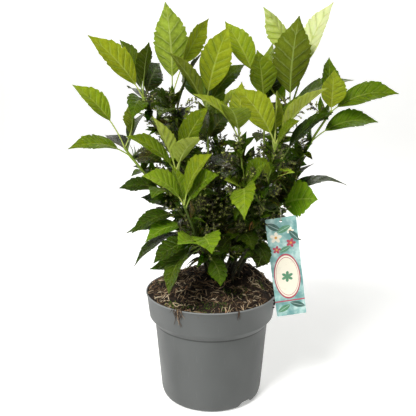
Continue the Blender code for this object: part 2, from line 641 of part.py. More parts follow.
def blade_width(share):
    """Half width of an elliptic blade with a drawn-out tip, 1 at its widest."""
    full = math.sin(math.pi * share ** BLADE_WIDEST) ** BLADE_FULLNESS
    drawn = max(0.0, (share - BLADE_POINT_START) / (1.0 - BLADE_POINT_START))
    return full * (1.0 - BLADE_POINT_DRAW * drawn)


def stitch(bm, first, second):
    """Fill the strip between two rows of (vertex, share along) with triangles."""
    i = 0
    j = 0
    while i < len(first) - 1 or j < len(second) - 1:
        take_first = j == len(second) - 1
        if i < len(first) - 1 and not take_first:
            take_first = first[i + 1][1] <= second[j + 1][1]
        if take_first:
            corners = (first[i][0], first[i + 1][0], second[j][0])
            i += 1
        else:
            corners = (first[i][0], second[j + 1][0], second[j][0])
            j += 1
        if len(set(corners)) == 3:
            bm.faces.new(corners)


def build_leaf(name, root, one, draw):
    """One closed leaf: a stalk that widens into a folded, arched, toothed blade."""
    bend, up = leaf_frame(root, one)
    tip = one["tip"]
    stalk = one["stalk"]
    half = one["width"] / 2
    fold = math.tan(math.radians(FOLD_YOUNG + (FOLD_OLD - FOLD_YOUNG) * min(one["age"], 1.0)))
    phase = draw.uniform(0.0, 2 * math.pi)
    wave = WAVE_SHARE * one["width"]
    bm = bmesh.new()

    def place(share, across, offset):
        """A vertex at a share of the rib's length, aside from it and above or below it."""
        point, along = rib_point(root, bend, tip, share)
        normal = (up - up.dot(along) * along).normalized()
        side = along.cross(normal)
        tilted = normal * math.cos(one["turn"]) + side * math.sin(one["turn"])
        level = along.cross(tilted)
        lift = abs(across) * fold + offset
        turn = WAVE_RATE * share + phase + (across > 0) * WAVE_SIDE_SHIFT
        lift += wave * (across / half) ** 2 * math.sin(turn)
        return bm.verts.new(point + level * across + tilted * lift)

    rings = []
    for share, size in ((0.0, ROOT_SHARE), (stalk, 1.0)):
        high = size * STALK_THICKNESS / 2
        wide = size * STALK_WIDTH / 2
        rings.append([place(share, 0.0, high), place(share, wide, 0.0),
                      place(share, 0.0, -high), place(share, -wide, 0.0)])
    bm.faces.new(rings[0])
    for i in range(4):
        bm.faces.new((rings[0][i], rings[0][i - 1], rings[1][i - 1], rings[1][i]))
    rows = {}
    for face in (1, -1):
        offset = face * BLADE_THICKNESS / 2
        end = place(1.0, 0.0, offset)
        rows["rib", face] = [(rings[1][1 - face], stalk)]
        for share in (1 / 3, 2 / 3):
            along = stalk + (1 - stalk) * share
            rows["rib", face].append((place(along, 0.0, offset), along))
        rows["rib", face].append((end, 1.0))
        for side, lag in ((1, 0.0), (-1, TOOTH_SIDE_LAG)):
            rows[side, face] = [(rings[1][2 - side], stalk)]
            for share, width in blade_outline((tip - root).length * (1 - stalk), lag):
                along = stalk + (1 - stalk) * share
                rows[side, face].append((place(along, side * half * width, offset), along))
            rows[side, face].append((end, 1.0))
    for side in (1, -1):
        for face in (1, -1):
            stitch(bm, rows["rib", face], rows[side, face])
        stitch(bm, rows[side, 1], rows[side, -1])
    bmesh.ops.triangulate(bm, faces=[face for face in bm.faces if len(face.verts) > 3])
    return as_object(bm, name, "cutters")


def build_spray(name, base, end, draw):
    """A bud spray: a slim axis with pointed buds set round it by a fixed angle."""
    axis_points = [base, base.lerp(end, SPRAY_SHOULDER), end]
    axis_radii = [SPRAY_RADIUS, SPRAY_RADIUS, SPRAY_TIP_SHARE * SPRAY_RADIUS]
    pieces = [tube(name, axis_points, axis_radii, 0)]
    axis = end - base
    along = axis.normalized()
    side = along.orthogonal().normalized()
    count = max(BUD_COUNT_LEAST, int(axis.length / BUD_SPACING))
    for index in range(count):
        share = BUD_START + BUD_RUN * index / (count - 1)
        turn = index * BUD_TURN
        out = side * math.cos(turn) + along.cross(side) * math.sin(turn)
        low, high = BUD_LENGTH_SHARES
        length = BUD_LENGTH * (low + (high - low) * share) * draw.uniform(0.8, 1.2)
        heading = (out + along * BUD_LEAN).normalized()
        bm = bmesh.new()
        bmesh.ops.create_cone(bm, cap_ends=True, segments=3, radius1=BUD_RADIUS,
                              radius2=BUD_TIP_RADIUS, depth=length)
        bud = as_object(bm, "%s_bud_%d" % (name, index), "cutters")
        bud.rotation_mode = "QUATERNION"
        bud.rotation_quaternion = heading.to_track_quat("Z", "Y")
        bud.location = base + axis * share + heading * (0.5 * length - BUD_SINK * SPRAY_RADIUS)
        pieces.append(bud)
    return pieces


def whorl_leaves(name, path, whorls, draw):
    """Leaves in opposite pairs, each pair a little lower on the path."""
    pieces = []
    for level, group in enumerate(whorls):
        for index, one in enumerate(group["leaves"]):
            node = at_height(path, group["height"] - PAIR_DROP * (index // 2) - WHORL_DROP)
            root = node + (one["tip"] - node).normalized() * ROOT_OFFSET
            pieces.append(build_leaf("%s_leaf_%d_%d" % (name, level, index), root, one, draw))
    return pieces


def taper(path, start, end):
    count = len(path) - 1
    return [start + (end - start) * index / count for index in range(count + 1)]


def stem_pieces(plant, draw):
    """A stem's main tube, and its branches, leaves and sprays, still apart."""
    name = plant["name"]
    path = smooth_path(plant["path"], straight=1)
    body = tube(name, path, taper(path, STEM_RADIUS, STEM_TIP_RADIUS), 1)
    pieces = whorl_leaves(name, path, plant["whorls"], draw)
    for number, branch in enumerate(plant["branches"]):
        side_path = smooth_path(branch["path"])
        label = "%s_branch_%d" % (name, number)
        radii = taper(side_path, branch["radius"], BRANCH_TAPER * branch["radius"])
        pieces.append(tube(label, side_path, radii, 1))
        pieces += whorl_leaves(label, side_path, branch["whorls"], draw)
    for number, one in enumerate(plant["sprays"]):
        base = at_height(path, one["height"])
        pieces += build_spray("%s_spray_%d" % (name, number), base, one["end"], draw)
    return body, pieces


def build_stem(plant, leaf_material, draw):
    """A stem and all that grows from it, joined into one body."""
    body, pieces = stem_pieces(plant, draw)
    group = bpy.data.collections.new(plant["name"] + "_pieces")
    bpy.context.scene.collection.children.link(group)
    for piece in pieces:
        bpy.data.collections["cutters"].objects.unlink(piece)
        group.objects.link(piece)
    bpy.data.collections["cutters"].objects.unlink(body)
    link(body)
    union = body.modifiers.new("grow together", "BOOLEAN")
    union.operation = "UNION"
    union.operand_type = "COLLECTION"
    union.collection = group
    union.solver = "MANIFOLD"
    bake_modifiers(body)
    for piece in pieces:
        bpy.data.objects.remove(piece, do_unlink=True)
    bpy.data.collections.remove(group)
    body.data.materials.clear()
    body.data.materials.append(leaf_material)
    return body


def tag_matrix():
    """The card's frame: X across it, Y through it to the back, Z up along it, origin at its top edge."""
    up = (Vector(TAG_TOP) - Vector(TAG_FOOT)).normalized()
    back = (Vector((0, 1, 0)) - up.y * up).normalized()
    across = back.cross(up)
    matrix = Matrix((across, back, up)).transposed().to_4x4()
    matrix.translation = Vector(TAG_TOP)
    return matrix


def build_label():
    length = (Vector(TAG_TOP) - Vector(TAG_FOOT)).length
    bm = bmesh.new()
    bmesh.ops.create_cube(bm, size=1.0)
    bmesh.ops.scale(bm, vec=(TAG_WIDTH, TAG_THICKNESS, length), verts=bm.verts)
    bmesh.ops.translate(bm, vec=(0, 0, -length / 2), verts=bm.verts)
    corners = [edge for edge in bm.edges if edge.calc_length() < 1.5 * TAG_THICKNESS]
    bmesh.ops.bevel(bm, geom=corners, offset=TAG_CORNER, segments=2, profile=0.5, affect="EDGES")
    label = as_object(bm, "label")
    label.matrix_world = tag_matrix()
    hole = cylinder("label_hole", (0, 0, 0), TAG_HOLE_RADIUS, 10 * TAG_THICKNESS, TAG_HOLE_SIDES)
    lower = Matrix.Translation((0, 0, -TAG_HOLE_INSET))
    hole.matrix_world = tag_matrix() @ lower @ Matrix.Rotation(math.pi / 2, 4, "X")
    cut(label, hole)
    label.data.materials.append(material("printed_card", (0.35, 0.55, 0.5), 0.45))
    return label


def build_tie():
    """A closed loop of cord round the old twig's end and through the card's hole."""
    twig = next(plant for plant in STEMS if plant["name"] == "stem_middle")["branches"][0]
    path = smooth_path(twig["path"])
    centre = path[-2]
    along = (path[-1] - path[-2]).normalized()
    seat = Vector((0, 0, TAG_HOLE_RADIUS - TIE_RADIUS - 2 * GAP - TAG_HOLE_INSET))
    aside = Vector((0, TAG_THICKNESS / 2 + 2 * TIE_RADIUS, 0))
    front = tag_matrix() @ (seat - aside)
    behind = tag_matrix() @ (seat + aside)
    towards = tag_matrix() @ seat - centre
    towards = (towards - towards.dot(along) * along).normalized()
    forward = towards.cross(along)
    reach = TWIG_RADIUS + TIE_RADIUS + GAP
    points = [behind, front]
    for step in range(TIE_TURN_POINTS):
        angle = math.radians(TIE_TURN_START + TIE_TURN_STEP * step)
        points.append(centre + (towards * math.cos(angle) + forward * math.sin(angle)) * reach)
    tie = tube("label_tie", points, [TIE_RADIUS] * len(points), 0, cyclic=True)
    bpy.data.collections["cutters"].objects.unlink(tie)
    link(tie)
    tie.data.materials.append(material("tie_cord", (0.75, 0.75, 0.68), 0.7))
    return tie


def main():
    start_scene()
    build_pot()
    build_soil()
    green = material("aucuba_leaf", (0.12, 0.22, 0.03), 0.35)
    draw = random.Random(7)
    for plant in STEMS:
        build_stem(plant, green, draw)
    build_label()
    build_tie()


main()
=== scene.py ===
import bpy
import bmesh
import functools
import math
import random
from mathutils import Matrix, Vector, noise


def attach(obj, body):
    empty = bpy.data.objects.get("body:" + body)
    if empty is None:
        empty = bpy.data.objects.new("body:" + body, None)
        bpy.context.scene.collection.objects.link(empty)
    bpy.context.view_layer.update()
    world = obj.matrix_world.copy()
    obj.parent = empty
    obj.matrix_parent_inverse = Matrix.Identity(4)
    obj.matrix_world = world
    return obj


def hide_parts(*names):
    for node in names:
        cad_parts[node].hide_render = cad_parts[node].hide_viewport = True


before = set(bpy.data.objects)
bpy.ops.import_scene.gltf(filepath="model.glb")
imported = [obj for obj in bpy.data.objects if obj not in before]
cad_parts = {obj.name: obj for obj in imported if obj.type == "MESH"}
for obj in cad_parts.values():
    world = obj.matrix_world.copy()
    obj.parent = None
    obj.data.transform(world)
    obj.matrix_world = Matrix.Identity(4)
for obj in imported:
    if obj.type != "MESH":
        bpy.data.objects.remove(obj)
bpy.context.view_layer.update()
cm, mm = 0.01, 0.001
scene = bpy.context.scene


# Tools for materials

def srgb(text):
    channels = [int(text[i:i + 2], 16) / 255 for i in (1, 3, 5)]
    linear = [c / 12.92 if c <= 0.04045 else ((c + 0.055) / 1.055) ** 2.4 for c in channels]
    return (*linear, 1.0)


def fillSocket(tree, socket, value):
    # another node's output is linked, and a number or colour is set on the socket itself
    if isinstance(value, bpy.types.NodeSocket):
        tree.links.new(value, socket)
    elif value is not None:
        socket.default_value = value


def addNode(tree, kind, *values, out=None, stops=(), **settings):
    # the values go to the sockets that the node shows, in turn, and out names the output to use
    node = tree.nodes.new("ShaderNode" + kind)
    for name, setting in settings.items():
        setattr(node, name, setting)
    for number, (position, colour) in enumerate(stops):
        ramp = node.color_ramp.elements
        stop = ramp[number] if number < len(ramp) else ramp.new(position)
        stop.position = position
        stop.color = srgb(colour)
    for socket, value in zip([socket for socket in node.inputs if socket.enabled], values):
        fillSocket(tree, socket, value)
    offered = [socket for socket in node.outputs if socket.enabled]
    return next((socket for socket in offered if socket.name == out), offered[0])


def makeMaterial(name, dress, *values):
    # dress gets addNode for this tree and the place on the object, and says what the shader gets
    made = bpy.data.materials.new(name)
    made.use_nodes = True
    tree = made.node_tree
    add = functools.partial(addNode, tree)
    sockets = {"IOR": 1.45, **dress(add, add("TexCoord", out="Object"), *values)}
    for socket, value in sockets.items():
        fillSocket(tree, tree.nodes["Principled BSDF"].inputs[socket], value)
    return made


# settings that many nodes share
smooth, paint = {"interpolation_type": "SMOOTHSTEP"}, {"data_type": "RGBA"}
plus, minus, times = ({"operation": name} for name in ("ADD", "SUBTRACT", "MULTIPLY"))
over, power, positive = ({"operation": name} for name in ("DIVIDE", "POWER", "ABSOLUTE"))


# Tools for shapes

def smoothPath(points, straight=0, steps=8):
    knots = [Vector(point) * cm for point in points]
    path = knots[:straight]
    for i in range(straight, len(knots) - 1):
        before, start, end = knots[max(i - 1, 0)], knots[i], knots[i + 1]
        after = knots[min(i + 2, len(knots) - 1)]
        for step in range(steps):
            s = step / steps
            path.append(0.5 * ((2 * start) + (end - before) * s
                               + (2 * before - 5 * start + 4 * end - after) * s ** 2
                               + (3 * start - before - 3 * end + after) * s ** 3))
    path.append(knots[-1])
    return path


def atHeight(path, height):
    for low, high in zip(path, path[1:]):
        if low.z <= height <= high.z:
            return low.lerp(high, (height - low.z) / max(high.z - low.z, 1e-9))
    return path[-1].copy()


def sweepTube(points, radii, sides=8, closed=False):
    # one ring is pushed out from point to point, and turned with the path
    bm = bmesh.new()
    bmesh.ops.create_circle(bm, segments=sides, radius=1.0)
    count = len(points)
    headings = []
    for i in range(count):
        ahead = points[(i + 1) % count] if closed else points[min(i + 1, count - 1)]
        behind = points[i - 1] if closed else points[max(i - 1, 0)]
        headings.append((ahead - behind).normalized())
    turn = headings[0].to_track_quat("Z", "Y").to_matrix()
    for vert in bm.verts:
        vert.co = points[0] + turn @ (vert.co * radii[0])
    firstRing = bm.edges[:]
    ring = firstRing
    for i in range(1, count):
        pushed = bmesh.ops.extrude_edge_only(bm, edges=ring)["geom"]
        turn = headings[i - 1].rotation_difference(headings[i]).to_matrix()
        for vert in pushed:
            if isinstance(vert, bmesh.types.BMVert):
                vert.co = points[i] + turn @ ((vert.co - points[i - 1]) * (radii[i] / radii[i - 1]))
        ring = [edge for edge in pushed if isinstance(edge, bmesh.types.BMEdge)]
    if closed:
        bmesh.ops.bridge_loops(bm, edges=firstRing + ring)
    else:
        bmesh.ops.contextual_create(bm, geom=firstRing)
        bmesh.ops.contextual_create(bm, geom=ring)
    bmesh.ops.recalc_face_normals(bm, faces=bm.faces)
    return bm


def newShape(values=()):
    bm = bmesh.new()
    bm.loops.layers.uv.new("UVMap")
    for name in values:
        bm.verts.layers.float.new(name)
    return bm


def asMesh(bm, name):
    mesh = bpy.data.meshes.new(name)
    bm.to_mesh(mesh)
    bm.free()
    return mesh


def asObject(mesh, name):
    made = bpy.data.objects.new(name, mesh)
    scene.collection.objects.link(made)
    return made


def addPart(bm, part, slot=0, smooth=True, matrix=None, **values):
    # part joins bm, with its material slot and its named values
    for name, value in values.items():
        layer = part.verts.layers.float.get(name) or part.verts.layers.float.new(name)
        for vert in part.verts:
            vert[layer] = value
    if slot is not None:
        for face in part.faces:
            face.material_index = slot
            face.smooth = smooth
    mesh = asMesh(part, "part")
    if matrix:
        mesh.transform(matrix)
    bm.from_mesh(mesh)
    bpy.data.meshes.remove(mesh)


def finishPiece(bm, name, materials, replaced=()):
    piece = asObject(asMesh(bm, name), name)
    for material in materials:
        piece.data.materials.append(material)
    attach(piece, "root")
    if replaced:
        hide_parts(*replaced)
    print("made", name, len(piece.data.polygons), "faces")
    return piece


def punchHoles(piece, punches):
    # each punch is sides, radius, depth and its matrix
    cutters = []
    for sides, radius, depth, matrix in punches:
        punch = bmesh.new()
        bmesh.ops.create_cone(punch, cap_ends=True, segments=sides,
                              radius1=radius, radius2=radius, depth=depth)
        punch.transform(matrix)
        cutters.append(asObject(asMesh(punch, "punch"), "punch"))
    for cutter in cutters:
        cutter.hide_render = True
        boolean = piece.modifiers.new("cut", "BOOLEAN")
        boolean.object = cutter
        boolean.operation = "DIFFERENCE"
        boolean.solver = "EXACT"
    graph = bpy.context.evaluated_depsgraph_get()
    mesh = bpy.data.meshes.new_from_object(piece.evaluated_get(graph))
    piece.modifiers.clear()
    piece.data = mesh
    for cutter in cutters:
        bpy.data.objects.remove(cutter)


# The plant, in cm: a leaf by its tip, width, turn about its rib and age (1.4 is withered), and how far it
# is turned pale by painted light

def leaf(x, y, z, width, turn, age, arch=0.10, stalk=0.18, bleach=0.0):
    return {"tip": Vector((x, y, z)) * cm, "width": width * cm, "turn": math.radians(turn),
            "age": age, "arch": arch, "stalk": stalk, "bleach": bleach}


def whorl(height, *leaves):
    return {"height": height * cm, "leaves": leaves}


def branch(path, *whorls, radius=0.0022):
    return {"path": path, "whorls": whorls, "radius": radius}


def spray(height, x, y, z):
    return {"height": height * cm, "end": Vector((x, y, z)) * cm}


def stem(name, path, whorls, branches=(), sprays=()):
    return {"name": name, "path": path, "whorls": whorls, "branches": branches, "sprays": sprays}


stems = (
    stem("stem_front", [(1.4, -2.6, 17), (1.4, -2.6, 23.5), (0.2, -6.2, 27.5), (-2.0, -10.0, 32.0),
        (-4.5, -12.0, 39.0)], [
        whorl(39.0, leaf(-10.5, -17, 44.5, 4.0, -50, 0.15, 0.12), leaf(0.0, -14, 47.5, 4.5, 50, 0.30),
              leaf(-6.5, -9, 45.0, 3.0, 10, 0.35, 0.05), leaf(1.0, -16, 44.5, 4.0, 60, 0.50, 0.12)),
        whorl(32.5, leaf(-9.5, -13, 29.5, 4.5, -20, 0.85, 0.12), leaf(0.0, -16, 32.0, 4.5, 10, 0.30, 0.25),
              leaf(-5.5, -14, 33.0, 4.0, -20, 0.20), leaf(-7.0, -14, 24.5, 4.5, 0, 0.70, 0.20),
              leaf(-10.5, -10, 27.5, 4.0, -20, 0.95, -0.05)),
        whorl(29.5, leaf(1.5, -11, 24.8, 3.2, 50, 0.60, 0.20))], branches=[
        branch([(1.4, -2.6, 23.0), (1.9, -4.0, 24.6), (1.4, -4.6, 26.2)], radius=0.0013),
        branch([(1.9, -4.0, 24.6), (3.0, -4.8, 26.4)], radius=0.0013)]),
    stem("stem_left", [(0.0, -0.9, 17), (0.0, -0.9, 23.5), (-2.0, -4.0, 29.5), (-4.5, -5.5, 35.0),
        (-7.5, -4.5, 39.5), (-11.2, -4.0, 42.5), (-14.0, -4.0, 46.0), (-15.0, -4.0, 47.5)], [
        whorl(47.5, leaf(-23.0, -6, 58.0, 4.0, -50, 0.20, 0.08, 0.38),
              leaf(-14.0, -3, 55.5, 3.5, -70, 0.30, -0.12, 0.30), leaf(-12.5, 4, 53.0, 3.5, -30, 0.85)),
        whorl(46.0, leaf(-24.0, -7, 47.5, 4.0, -30, 0.45, 0.14, 0.22), leaf(-19.5, 3, 49.0, 3.5, 0, 1.0),
              leaf(-8.5, -6, 45.0, 5.0, 30, 1.0, 0.15, 0.10)),
        whorl(40.0, leaf(-16.0, -5, 40.5, 4.0, -30, 0.90), leaf(-10.0, -9, 39.5, 3.0, -10, 0.50, 0.15)),
        whorl(36.0, leaf(-12.5, -3, 38.5, 3.5, -30, 0.85, 0.12),
              leaf(-13.5, -9, 33.5, 4.0, -20, 0.80, 0.12)),
        whorl(33.5, leaf(-15.0, -5, 32.5, 3.5, -20, 0.75), leaf(-11.0, -11, 32.5, 3.5, -20, 0.35, 0.15),
              leaf(-13.5, -7, 27.0, 3.5, -10, 0.95, 0.15))],
        sprays=[spray(32.0, -1.8, -6.8, 38.5), spray(29.5, -4.8, -7.8, 36.0)]),
    stem("stem_upper_left", [(0.9, 0.9, 17), (0.9, 0.9, 23.5), (-1.0, -2.0, 32.0), (-4.0, -3.2, 42.0),
        (-9.0, -2.2, 50.0), (-12.0, -1.0, 56.0)], [
        whorl(56.0, leaf(-20.5, -4, 66.0, 4.5, -70, 0.15, 0.06),
              leaf(-10.5, -3, 65.0, 4.2, 20, 0.60, 0.06, 0.30), leaf(-16.5, 4, 66.0, 4.0, 90, 0.70, 0.06),
              leaf(-9.5, 5, 62.0, 4.0, 50, 0.95, 0.08), leaf(-13.0, -8, 52.5, 3.5, -30, 0.60, 0.25),
              leaf(-15.5, 6, 57.5, 3.0, 10, 0.90)),
        whorl(39.0, leaf(0.8, -1.8, 42.5, 4.0, 50, 1.0)),
        whorl(34.0, leaf(-5.5, -1.0, 36.5, 4.0, -50, 1.0)),
        whorl(31.0, leaf(3.2, -1.8, 36.0, 4.0, 60, 1.0)),
        whorl(28.5, leaf(-5.5, 0, 27.5, 3.5, -40, 1.0))], branches=[
        branch([(-2.2, -2.6, 36.0), (-4.2, -5.8, 40.0), (-6.0, -8.0, 44.0)],
            whorl(44.0, leaf(-9.5, -10, 53.0, 3.5, 10, 0.15, 0.05), leaf(-2.0, -13, 50.0, 4.0, -10, 0.10),
                  leaf(-13.5, -12, 50.0, 4.0, -40, 0.40), leaf(-0.5, -9, 54.5, 4.5, 60, 0.45, 0.08, 0.30),
                  leaf(-6.5, -3, 52.0, 4.0, 50, 0.85)))],
        sprays=[spray(32.0, 0.6, -4.8, 38.5), spray(44.5, -9.8, -4.6, 51.5)]),
    stem("stem_crown_left", [(2.3, 2.3, 17), (2.3, 2.3, 23.5), (0.8, 1.8, 35.0), (-3.0, 1.0, 45.0),
        (-6.6, 0.0, 52.0), (-7.0, 0.0, 56.0)], [
        whorl(56.0, leaf(-8.0, 1, 72.0, 6.0, 90, 0.25, 0.03, 0.22),
              leaf(-0.5, 3, 69.5, 4.0, 110, 0.20, 0.05, 0.40)),
        whorl(52.5, leaf(-10.5, -5, 56.5, 4.0, -60, 0.80, 0.15, 0.12),
              leaf(-8.5, -9, 53.0, 3.5, -10, 0.70, 0.15),
              leaf(-1.5, 5.5, 64.0, 4.5, -40, 0.75, 0.08, 0.12)),
        whorl(38.5, leaf(2.6, -0.4, 41.5, 4.0, 40, 1.0)),
        whorl(33.5, leaf(-3.5, 2, 38.5, 4.0, -50, 1.0), leaf(5.2, 0.5, 37.5, 4.0, 50, 1.0)),
        whorl(29.5, leaf(5.6, -0.4, 33.0, 4.0, 50, 1.0))], branches=[
        branch([(-0.9, 1.4, 40.0), (-0.6, 2.0, 47.0), (-1.0, 2.0, 54.5)],
            whorl(54.5, leaf(3.0, 1, 68.0, 5.5, 100, 0.20, 0.04), leaf(2.3, 9, 61.2, 4.0, 30, 0.85, 0.08),
                  leaf(-7.2, -3.5, 63.4, 3.5, 10, 0.30, 0.06, 0.16), leaf(-5.5, 7, 60.0, 4.0, -30, 0.55),
                  leaf(6.4, 8, 61.9, 3.4, 40, 0.60, 0.10, 0.22), leaf(-1.0, -4, 48.5, 3.5, 60, 0.95, 0.25)),
            whorl(47.5, leaf(3.2, 4.5, 53.0, 4.0, 30, 1.0), leaf(-5.0, 4.5, 50.0, 3.5, -40, 1.0),
                  leaf(-2.3, -1.5, 55.3, 3.5, -20, 0.60)))],
        sprays=[spray(37.0, 3.4, -0.6, 45.5)]),
    stem("stem_middle", [(2.6, -1.3, 17), (2.6, -1.3, 23.5), (4.4, -4.0, 31.0), (5.4, -7.2, 39.0),
        (5.2, -8.0, 44.0), (4.5, -8.0, 49.5)], [
        whorl(49.5, leaf(2.5, -15, 54.5, 5.0, -10, 0.30, 0.15), leaf(5.0, -5, 58.5, 3.5, -30, 0.25, 0.05),
              leaf(-3.0, -9, 56.5, 3.5, -30, 0.15, 0.12)),
        whorl(43.0, leaf(0.0, -1, 45.5, 4.5, -20, 1.0), leaf(8.5, 1, 44.5, 4.5, 0, 1.0)),
        whorl(40.5, leaf(5.0, -16, 37.5, 4.5, 30, 0.30, 0.28), leaf(8.5, -13.5, 46.0, 3.5, 90, 0.45),
              leaf(1.5, -5, 43.5, 4.0, -10, 0.75), leaf(2.0, -11.5, 43.0, 2.5, -40, 0.20)),
        whorl(36.5, leaf(2.5, -2.2, 40.0, 3.5, 20, 1.0)),
        whorl(32.5, leaf(0.8, -8, 26.0, 4.0, 0, 0.85, 0.20), leaf(7.0, -9, 30.5, 3.5, 10, 0.90, 0.25))],
        branches=[
        branch([(5.3, -7.4, 40.2), (7.0, -8.4, 40.4), (8.1, -8.5, 38.6), (9.6, -8.0, 37.2),
                (11.2, -6.9, 37.0), (12.2, -6.6, 37.4)], radius=0.0013)],
        sprays=[spray(35.0, 2.6, -6.6, 41.5)]),
    stem("stem_right_front", [(3.9, -2.5, 17), (3.9, -2.5, 23.5), (7.0, -5.0, 31.0), (8.5, -7.0, 37.0),
        (9.5, -8.0, 42.0), (10.5, -8.0, 48.5)], [
        whorl(48.5, leaf(4.0, -8.5, 57.5, 5.0, -70, 0.10, 0.06), leaf(18.5, -9, 57.5, 4.0, -30, 0.15, 0.08),
              leaf(11.0, -4, 57.0, 3.5, 70, 0.10, 0.05, 0.30),
              leaf(15.5, -1, 56.5, 3.0, -10, 0.50, 0.05, 0.25), leaf(13.5, -13, 52.5, 3.0, 60, 0.50),
              leaf(8.5, -2, 55.0, 3.0, 30, 0.35)),
        whorl(42.0, leaf(6.8, -10.5, 46.5, 2.5, -90, 0.25), leaf(13.5, -10, 44.0, 2.5, 20, 0.10)),
        whorl(35.5, leaf(6.5, -7, 33.5, 1.5, 20, 1.40, 0.20)),
        whorl(34.0, leaf(7.5, -0.8, 38.5, 3.5, 30, 1.0)),
        whorl(31.0, leaf(8.0, -5, 26.0, 4.0, -80, 1.0, 0.25), leaf(9.6, -8, 27.5, 3.0, 10, 0.85, 0.20))],
        branches=[
        branch([(8.1, -6.4, 35.2), (10.8, -4.4, 41.0), (12.5, -3.0, 45.5)],
            whorl(45.5, leaf(20.5, -5, 53.5, 4.0, 30, 0.80)))]),
    stem("stem_crown_right", [(3.9, 0.9, 17), (3.9, 0.9, 23.5), (8.0, 3.0, 33.0), (11.0, 4.0, 43.0),
        (14.5, 4.0, 54.5)], [
        whorl(54.5, leaf(15.5, 3, 70.0, 7.0, -100, 0.50, 0.03, 0.14),
              leaf(27.0, 8, 59.0, 4.0, 20, 0.70, 0.08, 0.10), leaf(8.5, 6, 60.0, 4.0, -30, 0.30, 0.06)),
        whorl(38.0, leaf(4.5, 3, 42.0, 3.5, -60, 1.0), leaf(13.0, 6.5, 34.5, 4.0, 40, 1.0))], branches=[
        branch([(12.8, 4.1, 48.5), (15.0, 6.2, 54.0), (16.5, 7.0, 58.5)],
            # these two leaves are painted paler with painted light
            whorl(58.5, leaf(22.5, 8, 73.0, 4.5, 40, 0.20, 0.06, bleach=0.50),
                  leaf(9.5, 7, 72.0, 4.5, 120, 0.25, 0.06, 0.36, bleach=0.35))),
        branch([(9.3, 3.5, 37.0), (9.8, 3.4, 46.0), (9.5, 3.0, 54.5)],
            whorl(54.5, leaf(8.0, 1, 64.0, 5.0, -130, 0.35, 0.05),
                  leaf(2.5, 7, 69.5, 4.5, -50, 0.20, 0.05, 0.40), leaf(11.6, 9, 65.9, 4.5, -40, 0.35, 0.06),
                  leaf(13.5, 8, 61.6, 4.0, 20, 0.95, 0.08)))],
        sprays=[spray(40.5, 13.4, 1.6, 47.0)]),
    stem("stem_right", [(5.0, -0.9, 17), (5.0, -0.9, 23.5), (9.2, -1.6, 31.5), (12.0, -2.0, 37.0),
        (15.0, -0.6, 42.5), (18.0, 1.0, 48.0), (21.5, 1.0, 53.5)], [
        whorl(53.5, leaf(21.0, -2, 60.5, 4.5, -170, 0.15, 0.06, 0.08),
              leaf(33.0, 0, 56.5, 4.5, 50, 0.50, 0.12, 0.10), leaf(21.5, 5, 63.0, 4.0, 30, 0.50, 0.06)),
        whorl(48.0, leaf(30.0, 1, 51.5, 4.5, 40, 0.55, 0.14, 0.24)),
        whorl(37.0, leaf(16.5, -3.5, 46.0, 5.0, 30, 1.0, 0.06), leaf(19.5, 5, 43.5, 4.0, -20, 1.0),
              # this leaf is painted paler with painted light
              leaf(25.0, 1, 40.0, 4.0, 10, 0.85, 0.20), leaf(18.5, -5, 38.5, 6.5, 70, 0.45, bleach=0.20),
              leaf(14.5, -8, 44.0, 3.5, 100, 1.0))]),
    stem("stem_back_left", [(0.4, 3.5, 17), (0.4, 3.5, 23.5), (-2.0, 5.5, 31.0), (-5.5, 8.5, 39.0),
        (-8.0, 10.0, 46.0)], [
        whorl(46.0, leaf(-15.0, 12, 53.0, 4.5, 0, 0.60), leaf(-4.0, 15, 54.0, 4.5, 0, 0.30),
              leaf(-9.0, 18, 52.0, 5.0, 0, 0.40), leaf(-16.0, 9, 44.0, 4.5, 0, 0.80, 0.15),
              leaf(-13.0, 19, 45.0, 4.5, 0, 0.70, 0.15), leaf(-4.5, 19, 43.0, 4.0, 0, 0.90, 0.18)),
        whorl(39.0, leaf(-9.5, 3, 44.0, 4.5, -50, 0.95), leaf(-1.5, 6, 46.5, 4.5, 50, 1.0)),
        whorl(36.5, leaf(-3.0, 3.8, 42.0, 4.0, 30, 1.0)),
        whorl(31.0, leaf(-8.0, 2.5, 31.5, 4.0, -50, 1.0), leaf(-1.8, 1.2, 26.0, 4.0, 0, 1.0, 0.20))]),
    stem("stem_back", [(2.3, 4.7, 17), (2.3, 4.7, 23.5), (2.2, 8.0, 33.0), (1.4, 12.0, 43.0),
        (1.0, 14.0, 50.0)], [
        whorl(50.0, leaf(-5.0, 17, 58.0, 4.5, 0, 0.30), leaf(7.0, 16, 58.0, 4.5, 0, 0.20),
              leaf(0.0, 10, 61.0, 4.5, 180, 0.60, 0.10, 0.30), leaf(1.0, 22, 57.0, 5.0, 0, 0.25),
              leaf(-5.0, 22, 51.0, 4.5, 0, 0.60, 0.15), leaf(7.0, 22, 50.0, 4.5, 0, 0.80, 0.18)),
        whorl(44.5, leaf(-3.0, 8.0, 48.5, 4.5, -30, 1.0)),
        whorl(41.0, leaf(-4.5, 9.5, 39.5, 4.5, -50, 1.0), leaf(7.5, 8, 42.5, 4.5, 50, 1.0)),
        whorl(37.0, leaf(2.8, 4.0, 35.0, 4.0, 10, 1.0)),
        whorl(33.0, leaf(-3.5, 5, 34.5, 4.0, -50, 1.0), leaf(6.2, 5.6, 30.5, 4.0, 60, 1.0)),
        whorl(30.0, leaf(3.2, 3.6, 26.0, 3.5, 0, 1.0, 0.15))]),
    stem("stem_back_right", [(4.1, 3.5, 17), (4.1, 3.5, 23.5), (8.0, 8.0, 32.0), (11.5, 11.0, 41.0),
        (13.0, 13.0, 48.0)], [
        whorl(48.0, leaf(19.0, 15, 55.0, 4.5, 0, 0.40), leaf(13.0, 21, 53.0, 4.5, 0, 0.20),
              leaf(9.0, 17, 56.0, 4.5, 0, 0.50), leaf(20.0, 19, 47.0, 4.5, 0, 0.70, 0.15),
              leaf(10.0, 22, 46.0, 4.5, 0, 0.80, 0.18), leaf(16.0, 19, 41.0, 4.0, 0, 0.95, 0.20)),
